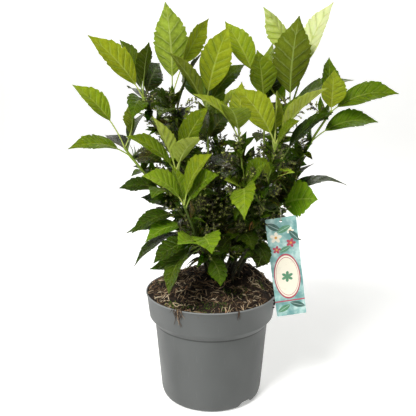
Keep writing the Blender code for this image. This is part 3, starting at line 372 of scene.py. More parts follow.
        whorl(41.0, leaf(18.5, 7, 43.0, 4.5, 50, 0.90))]),
    stem("stem_low_back", [(5.6, 1.7, 17), (5.6, 1.7, 23.5), (9.0, 7.0, 29.0), (9.5, 10.5, 33.0)], [
        whorl(33.0, leaf(16.5, 13, 36.0, 4.5, 0, 0.60), leaf(10.0, 19, 38.0, 4.5, 0, 0.70),
              leaf(3.0, 14, 36.5, 4.0, 0, 0.80), leaf(13.0, 18, 30.0, 4.0, 0, 0.95, 0.20),
              leaf(5.0, 17, 29.0, 4.0, 0, 0.90, 0.20)),
        whorl(28.0, leaf(17.3, 3, 29.0, 3.5, 20, 0.95))]),
    stem("stem_low_left", [(-0.9, 2.3, 17), (-0.9, 2.3, 23.5), (-4.0, 8.8, 28.5), (-6.0, 11.0, 33.0)], [
        whorl(33.0, leaf(-13.0, 11, 36.0, 4.5, 0, 0.80), leaf(-9.0, 19, 38.0, 4.5, 0, 0.60),
              leaf(0.0, 15, 35.5, 4.0, 0, 0.70), leaf(-12.0, 17, 30.0, 4.0, 0, 0.95, 0.20),
              leaf(-5.0, 20, 29.0, 4.0, 0, 0.90, 0.20)),
        whorl(28.0, leaf(-8.0, 3.5, 27.0, 4.0, -50, 1.0))]),
)

plantLook = {
    "stemRadius": 0.0032, "stemTipRadius": 0.0020, "twigRadius": 0.0013, "branchTaper": 0.75,
    "pairDrop": 0.006, "whorlDrop": 0.001, "rootOffset": 0.0008,
    "nodeSwelling": 0.0007, "nodeLength": 0.0040, "sides": 10,
}

leafLook = {
    "thickness": 0.0007, "foldYoung": 24, "foldOld": 12, "foldSoftness": 0.10, "upright": 0.15,
    "widest": 0.88, "fullness": 0.9, "pointFrom": 0.72, "pointDraw": 0.45,
    "waveShare": 0.05, "waveRate": 9.0, "waveSideShift": 1.3,
    "veins": 8, "veinLean": 0.20, "quilting": 0.0017, "quiltFrom": 0.35, "quiltFullHalf": 0.022,
    "longBlades": (0.07, 0.12), "teethFrom": 0.46, "teethSpan": 0.40, "toothLead": 0.10,
    "teethLimits": (0.41, 0.93), "rowGap": 0.006, "wholeMargin": (0.38, 0.955, 0.965), "firstRow": 0.015,
    "toothRise": 1.07, "toothNotch": 0.90, "smallRise": 1.0, "smallNotch": 0.96, "sideLag": 0.03,
    "notchRun": 0.16, "backRun": 0.55, "backLift": 0.03, "toothSizes": (0.55, 0.9),
    "columns": (0.0, 0.07, 0.28, 0.54, 0.80, 1.0), "leastHalf": 0.0006, "footHalf": 0.0013,
    "stalkRadius": 0.0012, "ribEndRadius": 0.00035, "heelRadius": 0.0017, "heelFlare": 1.12,
    "ribTaper": 1.5, "ribShare": 0.8, "ribSink": 0.55,
    "stalkStations": (0.0, 0.1, 0.3, 0.6, 0.9), "ribStations": (0.05, 0.15, 0.3, 0.45, 0.6, 0.75, 0.9),
}

sprayLook = {
    "axisRadius": 0.0010, "axisTip": 0.0005, "spacing": 0.0120, "least": 6, "start": 0.25, "run": 0.72,
    "turn": 2.4, "length": 0.015, "lengthShares": (1.15, 0.55), "lean": 0.9, "axisSteps": 6,
    "between": 2, "betweenTurn": 2.1, "betweenLengths": (0.5, 0.8),
    "twigRadius": 0.00045, "twigLift": 0.0006, "budRadius": 0.0010, "budLength": 0.0033, "budsPerTwig": 8,
    "budsFrom": 0.35, "budLean": 0.8, "budSink": 0.45, "budSizes": (0.75, 1.2),
}

# shaded bud panicles that crowd the middle of the bush, by height, at a fixed turn round each stem
thicket = {
    "from": 0.275, "to": 0.560, "rise": 0.0115, "turn": 2.4, "lengths": (0.030, 0.052), "lift": 0.7,
    "reach": 0.150, "middle": (0.025, 0.012), "kinds": 7, "twigs": 9, "buds": 7, "bracts": 6,
    "axisRadii": (0.0009, 0.0007, 0.0004), "twigsFrom": 0.25, "twigsRun": 0.7,
    "coneFoot": 0.42, "coneDraw": 0.26, "bractLift": 0.1,
    "bractLength": 0.032, "bractWidth": 0.0115, "bractThickness": 0.0004, "bractFold": 0.25,
    "bractAges": (0.52, 1.0), "bractSizes": (0.7, 1.2),
}


def bladeWidth(share):
    full = math.sin(math.pi * share ** leafLook["widest"]) ** leafLook["fullness"]
    drawn = max(0.0, (share - leafLook["pointFrom"]) / (1.0 - leafLook["pointFrom"]))
    return full * (1.0 - leafLook["pointDraw"] * drawn)


def bladeRows(bladeLength):
    # (share along the margin, share of the width there): a row at each tooth, and four to a vein
    look = leafLook
    big = 1 + sum(bladeLength > limit for limit in look["longBlades"])
    spacing = look["teethSpan"] / big / 2 if big > 1 else look["teethSpan"] / 3
    first, last = look["teethLimits"]
    whole, toothed, drawn = look["wholeMargin"]
    outline = [(0.0, 1.0), (whole, 1.0)]
    tip, small = look["teethFrom"] + look["toothLead"] / big, False
    while tip - spacing > first:
        tip -= spacing
        small = not small and big > 1
    while tip < last:
        rise, notch = ("smallRise", "smallNotch") if small else ("toothRise", "toothNotch")
        rise, notch = look[rise], look[notch]
        outline += [(tip, rise), (tip + look["notchRun"] * spacing, notch)]
        outline += [(tip + look["backRun"] * spacing, (rise + notch) / 2 + look["backLift"])]
        tip += spacing
        small = not small and big > 1
    outline = [row for row in outline if row[0] < toothed] + [(drawn, 1.0), (1.0, 1.0)]
    rows = list(outline)
    for step in range(1, 4 * look["veins"]):
        share = step / (4 * look["veins"])
        after = next(i for i, row in enumerate(outline) if row[0] > share)
        (low, lowSize), (high, highSize) = outline[after - 1], outline[after]
        if min(share - low, high - share) > look["rowGap"]:
            rows.append((share, lowSize + (highSize - lowSize) * (share - low) / (high - low)))
    return sorted(rows + [(look["firstRow"], 1.0)])


def leafFrame(root, one):
    # the bend that the rib passes, and the side of the leaf that faces up
    chord = one["tip"] - root
    along = chord.normalized()
    up = Vector((0, 0, 1)) - along.z * along
    if up.length < leafLook["upright"]:
        up = Vector((-root.x, -root.y, 0.0))
        up -= up.dot(along) * along
    up.normalize()
    return (root + one["tip"]) / 2 + up * (2 * one["arch"] * chord.length), up


def growLeaf(bm, root, one, phase, seed):
    look = leafLook
    bend, up = leafFrame(root, one)
    tip, stalk, half = one["tip"], one["stalk"], one["width"] / 2
    young = 1.0 - min(one["age"], 1.0)
    fold = math.tan(math.radians(look["foldOld"] + (look["foldYoung"] - look["foldOld"]) * young))
    soft = look["foldSoftness"] * half
    rows = bladeRows((tip - root).length * (1 - stalk))
    columns = [-c for c in look["columns"][:0:-1]] + list(look["columns"])
    quilted = look["quiltFrom"] + (1 - look["quiltFrom"]) * young
    relief = look["quilting"] * quilted * min(1.0, half / look["quiltFullHalf"])

    def place(share, across, offset):
        point = root.lerp(bend, share).lerp(bend.lerp(tip, share), share)
        along = (bend - root).lerp(tip - bend, share).normalized()
        normal = (up - up.dot(along) * along).normalized()
        tilted = normal * math.cos(one["turn"]) + along.cross(normal) * math.sin(one["turn"])
        lift = (math.hypot(across, soft) - soft) * fold + offset
        turn = look["waveRate"] * share + phase + (across > 0) * look["waveSideShift"]
        lift += look["waveShare"] * one["width"] * (across / half) ** 2 * math.sin(turn)
        return point + along.cross(tilted) * across + tilted * lift

    def locate(margin, side, offset):
        # a point of the blade: its row at the margin, its column, and the face that it lies on
        size = min(rows, key=lambda row: abs(row[0] - margin))[1]
        inner = margin - 4 * look["veinLean"] * margin * (1 - margin)
        share = inner + (margin - inner) * abs(side)
        share += look["sideLag"] * (side < 0) * abs(side) * 4 * share * (1 - share)
        least, most = look["toothSizes"]
        uneven = least + most * ((seed * 7 + margin * 11 + 3 * (side > 0)) % 1)
        toothed = (size - 1) * abs(side) ** 3 * uneven
        narrowest = look["leastHalf"] if margin else look["footHalf"]
        width = max(half * bladeWidth(margin) * (1 + toothed), narrowest)
        between = abs(math.sin(math.pi * look["veins"] * margin))
        ridge = (1.6 * between - 1.0) * math.sin(math.pi * abs(side)) ** 1.2
        lift = offset + relief * ridge * math.sin(math.pi * margin)
        return place(stalk + (1 - stalk) * share, side * width, lift)

    blade = newShape()
    uvMap = blade.loops.layers.uv["UVMap"]
    bmesh.ops.create_grid(blade, x_segments=len(rows) - 1, y_segments=len(columns) - 1, size=1.0)
    spots = {}
    for vert in blade.verts:
        margin = rows[round((vert.co.x + 1) / 2 * (len(rows) - 1))][0]
        side = columns[round((vert.co.y + 1) / 2 * (len(columns) - 1))]
        spots[vert] = (margin, 0.5 + 0.5 * side)
        vert.co = locate(margin, side, look["thickness"] / 2)
    for face in blade.faces:
        for loop in face.loops:
            loop[uvMap].uv = spots[loop.vert]
    upper = set(blade.verts)
    bmesh.ops.recalc_face_normals(blade, faces=blade.faces)
    facing = blade.faces[:][len(blade.faces) // 2]
    middle = stalk + 0.5 * (1 - stalk)
    if facing.normal.dot(place(middle, 0.0, 0.01) - place(middle, 0.0, 0.0)) < 0:
        bmesh.ops.reverse_faces(blade, faces=blade.faces)
    bmesh.ops.solidify(blade, geom=blade.faces[:], thickness=look["thickness"])
    for face in blade.faces:
        # the under face lies straight below the upper one
        if not any(vert in upper for vert in face.verts):
            for loop in face.loops:
                margin, across = loop[uvMap].uv
                loop.vert.co = locate(margin, 2 * across - 1, -look["thickness"] / 2)
    for face in blade.faces:
        tops = sum(vert in upper for vert in face.verts)
        face.material_index = 0 if tops == len(face.verts) else 1
        face.smooth = tops in (0, len(face.verts))
    for edge in blade.edges:
        if len({face.smooth for face in edge.link_faces}) == 2:
            edge.smooth = False
    bmesh.ops.recalc_face_normals(blade, faces=blade.faces)
    # painted light: the paling lowers the age that the blade's material reads, so the leaf comes out paler
    addPart(bm, blade, slot=None, age=one["age"] - one["bleach"], seed=seed)

    # the stalk runs on under the blade as its midrib
    radii = [look["heelRadius"], look["heelFlare"] * look["stalkRadius"]] + [look["stalkRadius"]] * 3
    shares = [stalk * s for s in look["stalkStations"]]
    for station in look["ribStations"]:
        share = stalk + (1 - stalk) * station
        inside = (share - stalk) / (1 - stalk)
        shares.append(share)
        drawn = look["ribShare"] * (1 - inside) ** look["ribTaper"]
        radii.append(look["ribEndRadius"] + (look["stalkRadius"] - look["ribEndRadius"]) * drawn)
    points = []
    for share, radius in zip(shares, radii):
        drop = 0.0 if share <= stalk else look["ribSink"] * radius
        points.append(place(share, 0.0, -drop))
    addPart(bm, sweepTube(points, radii, 6), slot=2, age=one["age"], seed=seed)


def growWhorls(bm, path, whorls, draw, tones):
    for group in whorls:
        for index, one in enumerate(group["leaves"]):
            drop = plantLook["pairDrop"] * (index // 2) + plantLook["whorlDrop"]
            node = atHeight(path, group["height"] - drop)
            root = node + (one["tip"] - node).normalized() * plantLook["rootOffset"]
            growLeaf(bm, root, one, draw.uniform(0.0, 2 * math.pi), tones.random())


def growStem(bm, path, thick, thin, whorls, seed):
    radii = []
    for i, point in enumerate(path):
        radius = thick + (thin - thick) * i / (len(path) - 1)
        for group in whorls:
            away = (point.z - group["height"] + plantLook["whorlDrop"]) / plantLook["nodeLength"]
            radius += plantLook["nodeSwelling"] * math.exp(-away ** 2)
        radii.append(radius)
    addPart(bm, sweepTube(path, radii, plantLook["sides"]), slot=3, age=0.5, seed=seed)


def growBud(bm, spot, aim, grown, age, seed):
    look = sprayLook
    bud = bmesh.new()
    bmesh.ops.create_icosphere(bud, subdivisions=1, radius=grown)
    size = Matrix.Diagonal((look["budRadius"], look["budRadius"], look["budLength"] / 2, 1))
    turned = aim.to_track_quat("Z", "Y").to_matrix().to_4x4()
    spot = Matrix.Translation(spot + aim * (look["budLength"] * look["budSink"]))
    addPart(bm, bud, slot=4, matrix=spot @ turned @ size, age=age, seed=seed)


def growTwig(bm, start, stop, along, buds, phase, tones):
    # a side twig with buds all along its outer part, and one at its end
    look = sprayLook
    heading = (stop - start).normalized()
    mid = start.lerp(stop, 0.5) + along * look["twigLift"]
    tone = tones.random()
    addPart(bm, sweepTube([start, mid, stop], [look["twigRadius"]] * 3, 4), slot=4, age=tone, seed=tone)
    cross = heading.cross(along).normalized()
    for number in range(buds):
        spin = number * look["turn"] + phase
        aim = heading * look["budLean"] + cross * math.cos(spin) + cross.cross(heading) * math.sin(spin)
        if number == buds - 1:
            aim = heading
        spot = start.lerp(stop, look["budsFrom"] + (1 - look["budsFrom"]) * number / (buds - 1))
        grown, age = tones.uniform(*look["budSizes"]), 0.35 + 0.65 * tones.random()
        growBud(bm, spot, aim.normalized(), grown, age, tones.random())


def growSpray(bm, base, end, draw, tones):
    look = sprayLook
    axis = end - base
    along = axis.normalized()
    side = along.orthogonal().normalized()
    shares = [i / look["axisSteps"] for i in range(look["axisSteps"] + 1)]
    points = [base + axis * share for share in shares]
    radii = [look["axisRadius"] + (look["axisTip"] - look["axisRadius"]) * share for share in shares]
    addPart(bm, sweepTube(points, radii, 6), slot=4, age=tones.uniform(0.0, 0.6), seed=tones.random())
    count = max(look["least"], int(axis.length / look["spacing"]))
    low, high = look["lengthShares"]
    for index in range(count * look["between"]):
        # the twigs of the solid, and shorter ones between them
        main = index % look["between"] == 0
        share = look["start"] + look["run"] * index / (count * look["between"] - look["between"])
        turn = index * look["turn"] / look["between"] + (0 if main else look["betweenTurn"] * index)
        out = side * math.cos(turn) + along.cross(side) * math.sin(turn)
        length = look["length"] * (low + (high - low) * share)
        length *= draw.uniform(0.8, 1.2) if main else tones.uniform(*look["betweenLengths"])
        if share > 1.0:
            continue
        start = base + axis * share
        stop = start + (out + along * look["lean"]).normalized() * length
        growTwig(bm, start, stop, along, look["budsPerTwig"], index, tones)


def growBract(bm, tip, width, age, seed):
    # a small narrow leaf: its blade only, arched and a little folded
    blade = newShape()
    bmesh.ops.create_grid(blade, x_segments=6, y_segments=2, size=1.0)
    across = tip.normalized().cross(Vector((0, 0, 1))).normalized()
    up = across.cross(tip.normalized())
    for vert in blade.verts:
        share, side = (vert.co.x + 1) / 2, vert.co.y
        wide = max(width / 2 * bladeWidth(share), 0.0003)
        lift = thicket["bractLift"] * tip.length * math.sin(math.pi * share)
        lift += thicket["bractFold"] * wide * abs(side)
        vert.co = tip * share + across * side * wide + up * lift
    bmesh.ops.solidify(blade, geom=blade.faces[:], thickness=thicket["bractThickness"])
    bmesh.ops.recalc_face_normals(blade, faces=blade.faces)
    addPart(bm, blade, slot=0, age=age, seed=seed)


def growPanicle(tones):
    # one bud panicle, upright: a cone of opposite twigs, with narrow bracts at its foot
    bm = newShape(("age", "seed"))
    length = sum(thicket["lengths"]) / 2
    top = Vector((0, 0, length))
    axis = sweepTube([top * s for s in (0.0, 0.5, 1.0)], thicket["axisRadii"], 5)
    addPart(bm, axis, slot=4, age=0.2, seed=0.5)
    for index in range(thicket["twigs"]):
        share = thicket["twigsFrom"] + thicket["twigsRun"] * index / (thicket["twigs"] - 1)
        turn = (index % 2) * math.pi + (index // 2) * math.pi / 2 + tones.uniform(-0.3, 0.3)
        out = Vector((math.cos(turn), math.sin(turn), tones.uniform(0.5, 1.0))).normalized()
        reach = length * (thicket["coneFoot"] - thicket["coneDraw"] * share) * tones.uniform(0.8, 1.2)
        start, upright = top * share, Vector((0, 0, 1))
        growTwig(bm, start, start + out * reach, upright, thicket["buds"], index, tones)
    for index in range(thicket["bracts"]):
        turn = index * 2.0 + tones.uniform(-0.4, 0.4)
        out = Vector((math.cos(turn), math.sin(turn), tones.uniform(0.3, 1.0))).normalized()
        size = tones.uniform(*thicket["bractSizes"])
        age = tones.uniform(*thicket["bractAges"])
        tip, width = out * thicket["bractLength"] * size, thicket["bractWidth"] * size
        growBract(bm, tip, width, age, tones.random())
    return asMesh(bm, "panicle")


def growThicket(bm, path, panicles, tones):
    height, turn = thicket["from"], tones.uniform(0, 2 * math.pi)
    while height < min(thicket["to"], path[-1].z - 0.01):
        base = atHeight(path, height)
        turn += thicket["turn"]
        length = tones.uniform(*thicket["lengths"])
        out = Vector((math.cos(turn), math.sin(turn), thicket["lift"])).normalized()
        middle = Vector((*thicket["middle"], (base + out * length).z))
        if (base + out * length - middle).length < thicket["reach"]:
            panicle = bmesh.new()
            panicle.from_mesh(tones.choice(panicles))
            spin = Matrix.Rotation(tones.uniform(0, 6.3), 4, "Z")
            turned = out.to_track_quat("Z", "Y").to_matrix().to_4x4() @ spin
            grown = Matrix.Scale(length * 2 / sum(thicket["lengths"]), 4)
            addPart(bm, panicle, slot=None, matrix=Matrix.Translation(base) @ turned @ grown)
        height += thicket["rise"] * tones.uniform(0.8, 1.2)


# Leaf: a grown blade with a waxy cuticle, which gives a soft gloss. Its veins are sunk, with swollen
# panels between them, and the under face is paler and matt.

leafTones = {
    "upper": ((0.0, "#ABB62E"), (0.10, "#939C1A"), (0.22, "#74820E"), (0.34, "#566A07"), (0.46, "#415304"),
              (0.58, "#2F4003"), (0.71, "#1B2403"), (0.86, "#4E3A1C"), (1.0, "#8A5A2E")),
    "under": ((0.0, "#B4BC58"), (0.10, "#9AA43A"), (0.22, "#747F20"), (0.34, "#5C6814"), (0.46, "#4A5410"),
              (0.58, "#38400D"), (0.71, "#1F2409"), (0.86, "#5E4C2C"), (1.0, "#96693C")),
    "stalk": ((0.0, "#B5BE5E"), (0.3, "#8EA23C"), (0.72, "#566C26"), (1.0, "#8A6238")),
    "paintedLightPale": "#EDF2BC", "shadeHue": 0.055, "gloss": "#D4DEB0", "withered": 1.4,
    "veinUpper": "#BCCB62", "veinUnder": "#C4CC86",
    "netShare": 0.10, "lateralShare": 0.29, "midribShare": 0.55,
    "patchMm": 14, "mottleMm": 4.5, "glossMm": 9, "panelMm": 2.4, "veinWanderMm": 6, "veinBumpMm": 1.8,
}


def leafMaterial(add, place, tones, vein, roughness, specular, relief):
    age = add("Attribute", attribute_name="age", out="Fac")
    seed = add("Attribute", attribute_name="seed", out="Fac")
    spot = add("UVMap", uv_map="UVMap")
    along, across = add("SeparateXYZ", spot, out="X"), add("SeparateXYZ", spot, out="Y")
    side = add("Math", add("Math", add("Math", across, 0.5, **minus), **positive), 2.0, **times)
    # the side veins wander a little, and fade out before the margin
    wander = add("Math", add("TexNoise", place, 1 / (leafTones["veinWanderMm"] * mm), 1.0), 0.035, **times)
    rows = add("Math", add("Math", along, wander, **plus), leafLook["veins"], **times)
    near = add("Math", add("Math", add("Math", rows, operation="FRACT"), 0.5, **minus), **positive)
    inward = add("MapRange", side, 0.75, 1.0, 1.0, 0.0, **smooth)
    lateral = add("Math", add("MapRange", near, 0.38, 0.48, **smooth), inward, **times)
    midrib = add("MapRange", side, 0.025, 0.075, 1.0, 0.0, **smooth)
    panels = add("TexVoronoi", place, 1 / (leafTones["panelMm"] * mm), feature="DISTANCE_TO_EDGE")
    net = add("MapRange", panels, 0.0, 0.16, 1.0, 0.0, **smooth)
    # age turns the blade from yellow-green to dark green, and then to brown
    drift = add("Math", add("Math", seed, 0.5, **minus), 0.08, **times)
    tone = add("Math", add("Math", age, drift, **plus), leafTones["withered"], **over)
    fresh = add("MapRange", tone, 0.05, 0.62, 1.0, 0.22, **smooth)
    patches = add("TexNoise", place, 1 / (leafTones["patchMm"] * mm))
    mottle = add("TexNoise", place, 1 / (leafTones["mottleMm"] * mm), 3.0)
    shades = ((patches, 0.3, 0.7, -0.03, 0.03), (mottle, 0.3, 0.7, -0.025, 0.025),
              (near, 0.0, 0.5, -0.03, 0.04), (along, 0.0, 1.0, 0.035, -0.035))
    for source, low, high, least, most in shades:
        tone = add("Math", tone, add("MapRange", source, low, high, least, most, **smooth), **plus)
    # painted highlight: where the tone falls below that of the youngest leaves, mostly on leaves given a
    # paling, the colour is mixed towards a pale washed-out colour
    paintedLightPale = add("MapRange", tone, -0.26, -0.04, 0.85, 0.0, **smooth)
    colour = add("ValToRGB", tone, stops=tones)
    colour = add("Mix", paintedLightPale, colour, srgb(leafTones["paintedLightPale"]), **paint)
    # each leaf leans a little to yellow or green, and fresh ones in the shade are greener
    shift = add("Math", add("Math", seed, 7.0, **times), operation="FRACT")
    hue = add("MapRange", shift, 0.0, 1.0, 0.492, 0.512, **smooth)
    height = add("SeparateXYZ", place, out="Z")
    shaded = add("MapRange", height, 0.30, 0.56, leafTones["shadeHue"], 0.0, **smooth)
    shaded = add("Math", shaded, add("Math", fresh, 2.0, **power), **times)
    hue = add("Math", hue, shaded, **plus)
    colour = add("HueSaturation", hue, None, None, None, colour)
    for mask, share in ((net, "netShare"), (lateral, "lateralShare"), (midrib, "midribShare")):
        amount = add("Math", add("Math", mask, fresh, **times), leafTones[share], **times)
        colour = add("Mix", amount, colour, srgb(vein), **paint)
    gloss = add("TexNoise", place, 1 / (leafTones["glossMm"] * mm))
    rough = add("MapRange", gloss, 0.3, 0.7, roughness - 0.10, roughness + 0.02, **smooth)
    rough = add("Math", rough, add("Math", fresh, 0.14, **times), **plus)
    veins = add("Math", add("Math", lateral, 0.7, **times), add("Math", net, 0.35, **times), **plus)
    veins = add("Math", veins, relief, **times)
    return {"Base Color": colour, "Roughness": rough, "Specular IOR Level": specular,
            "Specular Tint": srgb(leafTones["gloss"]), "Subsurface Weight": 0.35,
            "Subsurface Radius": (0.0022, 0.0032, 0.0006), "Subsurface Scale": 1.0,
            "Normal": add("Bump", 1.0, leafTones["veinBumpMm"] * mm, None, veins)}


# Leaf stalk: smooth green skin, lighter than the blade.

def stalkMaterial(add, place):
    age = add("Math", add("Attribute", attribute_name="age", out="Fac"), leafTones["withered"], **over)
    cloud = add("MapRange", add("TexNoise", place, 1 / (8 * mm)), 0.3, 0.7, -0.06, 0.06, **smooth)
    colour = add("ValToRGB", add("Math", age, cloud, **plus), stops=leafTones["stalk"])
    fibres = add("TexNoise", add("Mapping", place, None, None, (1, 1, 0.25)), 1 / (1.2 * mm))
    return {"Base Color": colour, "Roughness": 0.42, "Normal": add("Bump", 1.0, 0.15 * mm, None, fibres)}


# Young bark: green and smooth above, corky and brown near the soil, and darkened towards the soil with
# painted shade.

barkTones = {
    "byHeightShaded": ((0.0, "#1C1A0E"), (0.25, "#262C10"), (0.6, "#465A1A"), (1.0, "#7E9434")),
    "greens": (0.20, 0.52), "cork": "#8C8258", "cloudMm": 7, "corkMm": 1.6, "grainMm": 1.4,
}


def barkMaterial(add, place):
    cloud = add("TexNoise", place, 1 / (barkTones["cloudMm"] * mm))
    cloud = add("MapRange", cloud, 0.3, 0.7, -0.03, 0.03, **smooth)
    height = add("Math", add("SeparateXYZ", place, out="Z"), cloud, **plus)
    risen = add("MapRange", height, *barkTones["greens"], **smooth)
    # painted shade: the colour by height runs to near black at the foot of the stems
    colour = add("ValToRGB", risen, stops=barkTones["byHeightShaded"])
    drawnOut = add("Mapping", place, None, None, (1, 1, 0.4))
    corky = add("TexNoise", drawnOut, 1 / (barkTones["corkMm"] * mm), 3.0)
    corky = add("Math", add("MapRange", corky, 0.56, 0.66, **smooth), 0.35, **times)
    colour = add("Mix", corky, colour, srgb(barkTones["cork"]), **paint)
    furrows = add("Mapping", place, None, None, (1, 1, 0.35))
    grain = add("TexNoise", furrows, 1 / (barkTones["grainMm"] * mm), 3.0)
    return {"Base Color": colour, "Roughness": 0.6, "Specular IOR Level": 0.20,
            "Normal": add("Bump", 1.0, 0.3 * mm, None, grain)}


# Flower buds: scaly, dull olive and brown, some of them fresh green.

budTones = {
    "byAge": ((0.0, "#1E240E"), (0.35, "#30361A"), (0.6, "#3E3220"), (0.8, "#6A742C"), (1.0, "#B8C25A")),
    "scale": "#3A2A1C", "scaleMm": 1.5, "grainMm": 0.8,
}


def budMaterial(add, place):
    colour = add("ValToRGB", add("Attribute", attribute_name="age", out="Fac"), stops=budTones["byAge"])
    scales = add("TexNoise", place, 1 / (budTones["scaleMm"] * mm))
    scales = add("MapRange", scales, 0.45, 0.6, 0.0, 0.4, **smooth)
    colour = add("Mix", scales, colour, srgb(budTones["scale"]), **paint)
    grain = add("TexNoise", place, 1 / (budTones["grainMm"] * mm))
    return {"Base Color": colour, "Roughness": 0.55, "Normal": add("Bump", 1.0, 0.2 * mm, None, grain)}


plantMaterials = [
    makeMaterial("waxy leaf upper face", leafMaterial, leafTones["upper"], leafTones["veinUpper"],
                 0.25, 0.24, -1.0),
    makeMaterial("matt leaf under face", leafMaterial, leafTones["under"], leafTones["veinUnder"],
                 0.50, 0.05, 1.0),
    makeMaterial("green leaf stalk", stalkMaterial),
    makeMaterial("young green bark", barkMaterial),
    makeMaterial("scaly flower bud", budMaterial),
]


def buildPlant():
    look = plantLook
    draw, tones = random.Random(7), random.Random(23)
    panicles = [growPanicle(tones) for _ in range(thicket["kinds"])]
    for plant in stems:
        bm = newShape(("age", "seed"))
        path = smoothPath(plant["path"], straight=1)
        growStem(bm, path, look["stemRadius"], look["stemTipRadius"], plant["whorls"], tones.random())
        growWhorls(bm, path, plant["whorls"], draw, tones)
        for side in plant["branches"]:
            sidePath = smoothPath(side["path"])
            thin = look["branchTaper"] * side["radius"]
            growStem(bm, sidePath, side["radius"], thin, side["whorls"], 0.5)
            growWhorls(bm, sidePath, side["whorls"], draw, tones)
        for one in plant["sprays"]:
            growSpray(bm, atHeight(path, one["height"]), one["end"], draw, tones)
        growThicket(bm, path, panicles, tones)
        finishPiece(bm, plant["name"] + "_grown", plantMaterials, [plant["name"]])


buildPlant()


# The pot: polypropylene, injection moulded. Matt and even, with a fine spark-eroded grain.

pot = {
    "rimZ": 0.204, "rimRadius": 0.1232, "bandFootRadius": 0.1171, "bandFootZ": 0.158,
    "bodyTopRadius": 0.1069, "bodyTopZ": 0.1455, "bodyFootRadius": 0.0962, "bodyFootZ": 0.012,
    "footRadius": 0.0893, "wall": 0.0022, "plate": 0.0025, "skirtRadius": 0.0870,
    "dishRadius": 0.0405, "dishSlope": 0.0075, "steps": 112, "lip": 0.0032, "lipStep": 0.0011,
    "notchWidth": 0.040, "notchHeight": 0.0112, "notchDepth": 0.024, "notchOutset": 0.002,
    "notchHeadings": (-48, 132), "notchSides": 6,
    "drains": 6, "drainRadius": 0.004, "drainCircle": 0.068, "drainTurn": 0.4, "drainSides": 20,
    "grey": "#606261", "greyDark": "#555756", "greyLipHighlight": "#A2A5A3", "greyCornerShade": "#242524",
    "soilStain": "#5A4A3A", "scuff": "#A3A6A4", "cloudMm": 90, "stainMm": 5, "scuffMm": 3, "grainMm": 0.6,
}


def potRadius(z):
    # the outer radius at a height: on the rim band, the step under it or the tapered body
    for low, high in (("bandFoot", "rim"), ("bodyTop", "bandFoot"), ("bodyFoot", "bodyTop")):
        if z >= pot[low + "Z"]:
            break
    share = (z - pot[low + "Z"]) / (pot[high + "Z"] - pot[low + "Z"])
    return pot[low + "Radius"] + (pot[high + "Radius"] - pot[low + "Radius"]) * share


def turnProfile(profile, steps):
    # profile points are (radius, height, rounding of that corner)
    bm = newShape()
    verts = [bm.verts.new((radius, 0.0, height)) for radius, height, rounding in profile]
    edges = [bm.edges.new(pair) for pair in zip(verts, verts[1:])]
    bmesh.ops.spin(bm, geom=verts + edges, cent=(0, 0, 0), axis=(0, 0, 1), dvec=(0, 0, 0),
                   angle=2 * math.pi, steps=steps, use_merge=True, use_duplicate=False)
    bmesh.ops.remove_doubles(bm, verts=bm.verts, dist=0.00001)
    bmesh.ops.recalc_face_normals(bm, faces=bm.faces)
    for radius, height, rounding in profile:
        if not rounding:
            continue
        ring = [edge for edge in bm.edges if all(abs(vert.co.z - height) < 1e-5 for vert in edge.verts)]
        ring = [edge for edge in ring if all(abs(vert.co.xy.length - radius) < 1e-5 for vert in edge.verts)]
        bmesh.ops.bevel(bm, geom=ring, offset=rounding, offset_type="OFFSET", affect="EDGES",
                        segments=3, profile=0.5, material=-1, clamp_overlap=True)
    for face in bm.faces:
        face.smooth = True
    return bm


def potMaterial(add, place):
    height = add("SeparateXYZ", place, out="Z")
    cloud = add("TexNoise", add("Mapping", place, None, None, (1, 1, 0.6)), 1 / (pot["cloudMm"] * mm))
    cloud = add("MapRange", cloud, 0.25, 0.75, **smooth)
    colour = add("Mix", cloud, srgb(pot["grey"]), srgb(pot["greyDark"]), **paint)
    # specks of soil, more of them near the rim
    specks = add("TexNoise", place, 1 / (pot["stainMm"] * mm), 4.0)
    specks = add("MapRange", specks, 0.60, 0.72, **smooth)
    nearRim = add("MapRange", height, pot["rimZ"] - 0.035, pot["rimZ"], 0.03, 0.45, **smooth)
    colour = add("Mix", add("Math", specks, nearRim, **times), colour, srgb(pot["soilStain"]), **paint)
    # a band under the lip's top edge is painted pale as a painted highlight, and the corner under the band
    # is darkened with painted shade
    lipHighlight = add("MapRange", height, pot["rimZ"] - 0.0026, pot["rimZ"] - 0.0012, 0.0, 0.45, **smooth)
    colour = add("Mix", lipHighlight, colour, srgb(pot["greyLipHighlight"]), **paint)
    # painted shade: a dark line in the corner under the band
    corner = add("Math", add("Math", height, pot["bodyTopZ"] - 0.0006, **minus), **positive)
    corner = add("MapRange", corner, 0.0004, 0.0022, 0.70, 0.0, **smooth)
    colour = add("Mix", corner, colour, srgb(pot["greyCornerShade"]), **paint)
    drawnOut = add("Mapping", place, None, None, (1, 1, 0.06))
    scuffs = add("TexNoise", drawnOut, 1 / (pot["scuffMm"] * mm), 3.0)
    scuffs = add("MapRange", scuffs, 0.64, 0.72, 0.0, 0.05, **smooth)
    colour = add("Mix", scuffs, colour, srgb(pot["scuff"]), **paint)
    # the real grain is about 0.1 mm, and is drawn coarser so that it shows
    grain = add("TexNoise", place, 1 / (pot["grainMm"] * mm))
    return {"Base Color": colour, "Roughness": add("MapRange", cloud, 0.0, 1.0, 0.42, 0.56, **smooth),
            "IOR": 1.49, "Specular IOR Level": 0.30, "Normal": add("Bump", 1.0, 0.08 * mm, None, grain)}


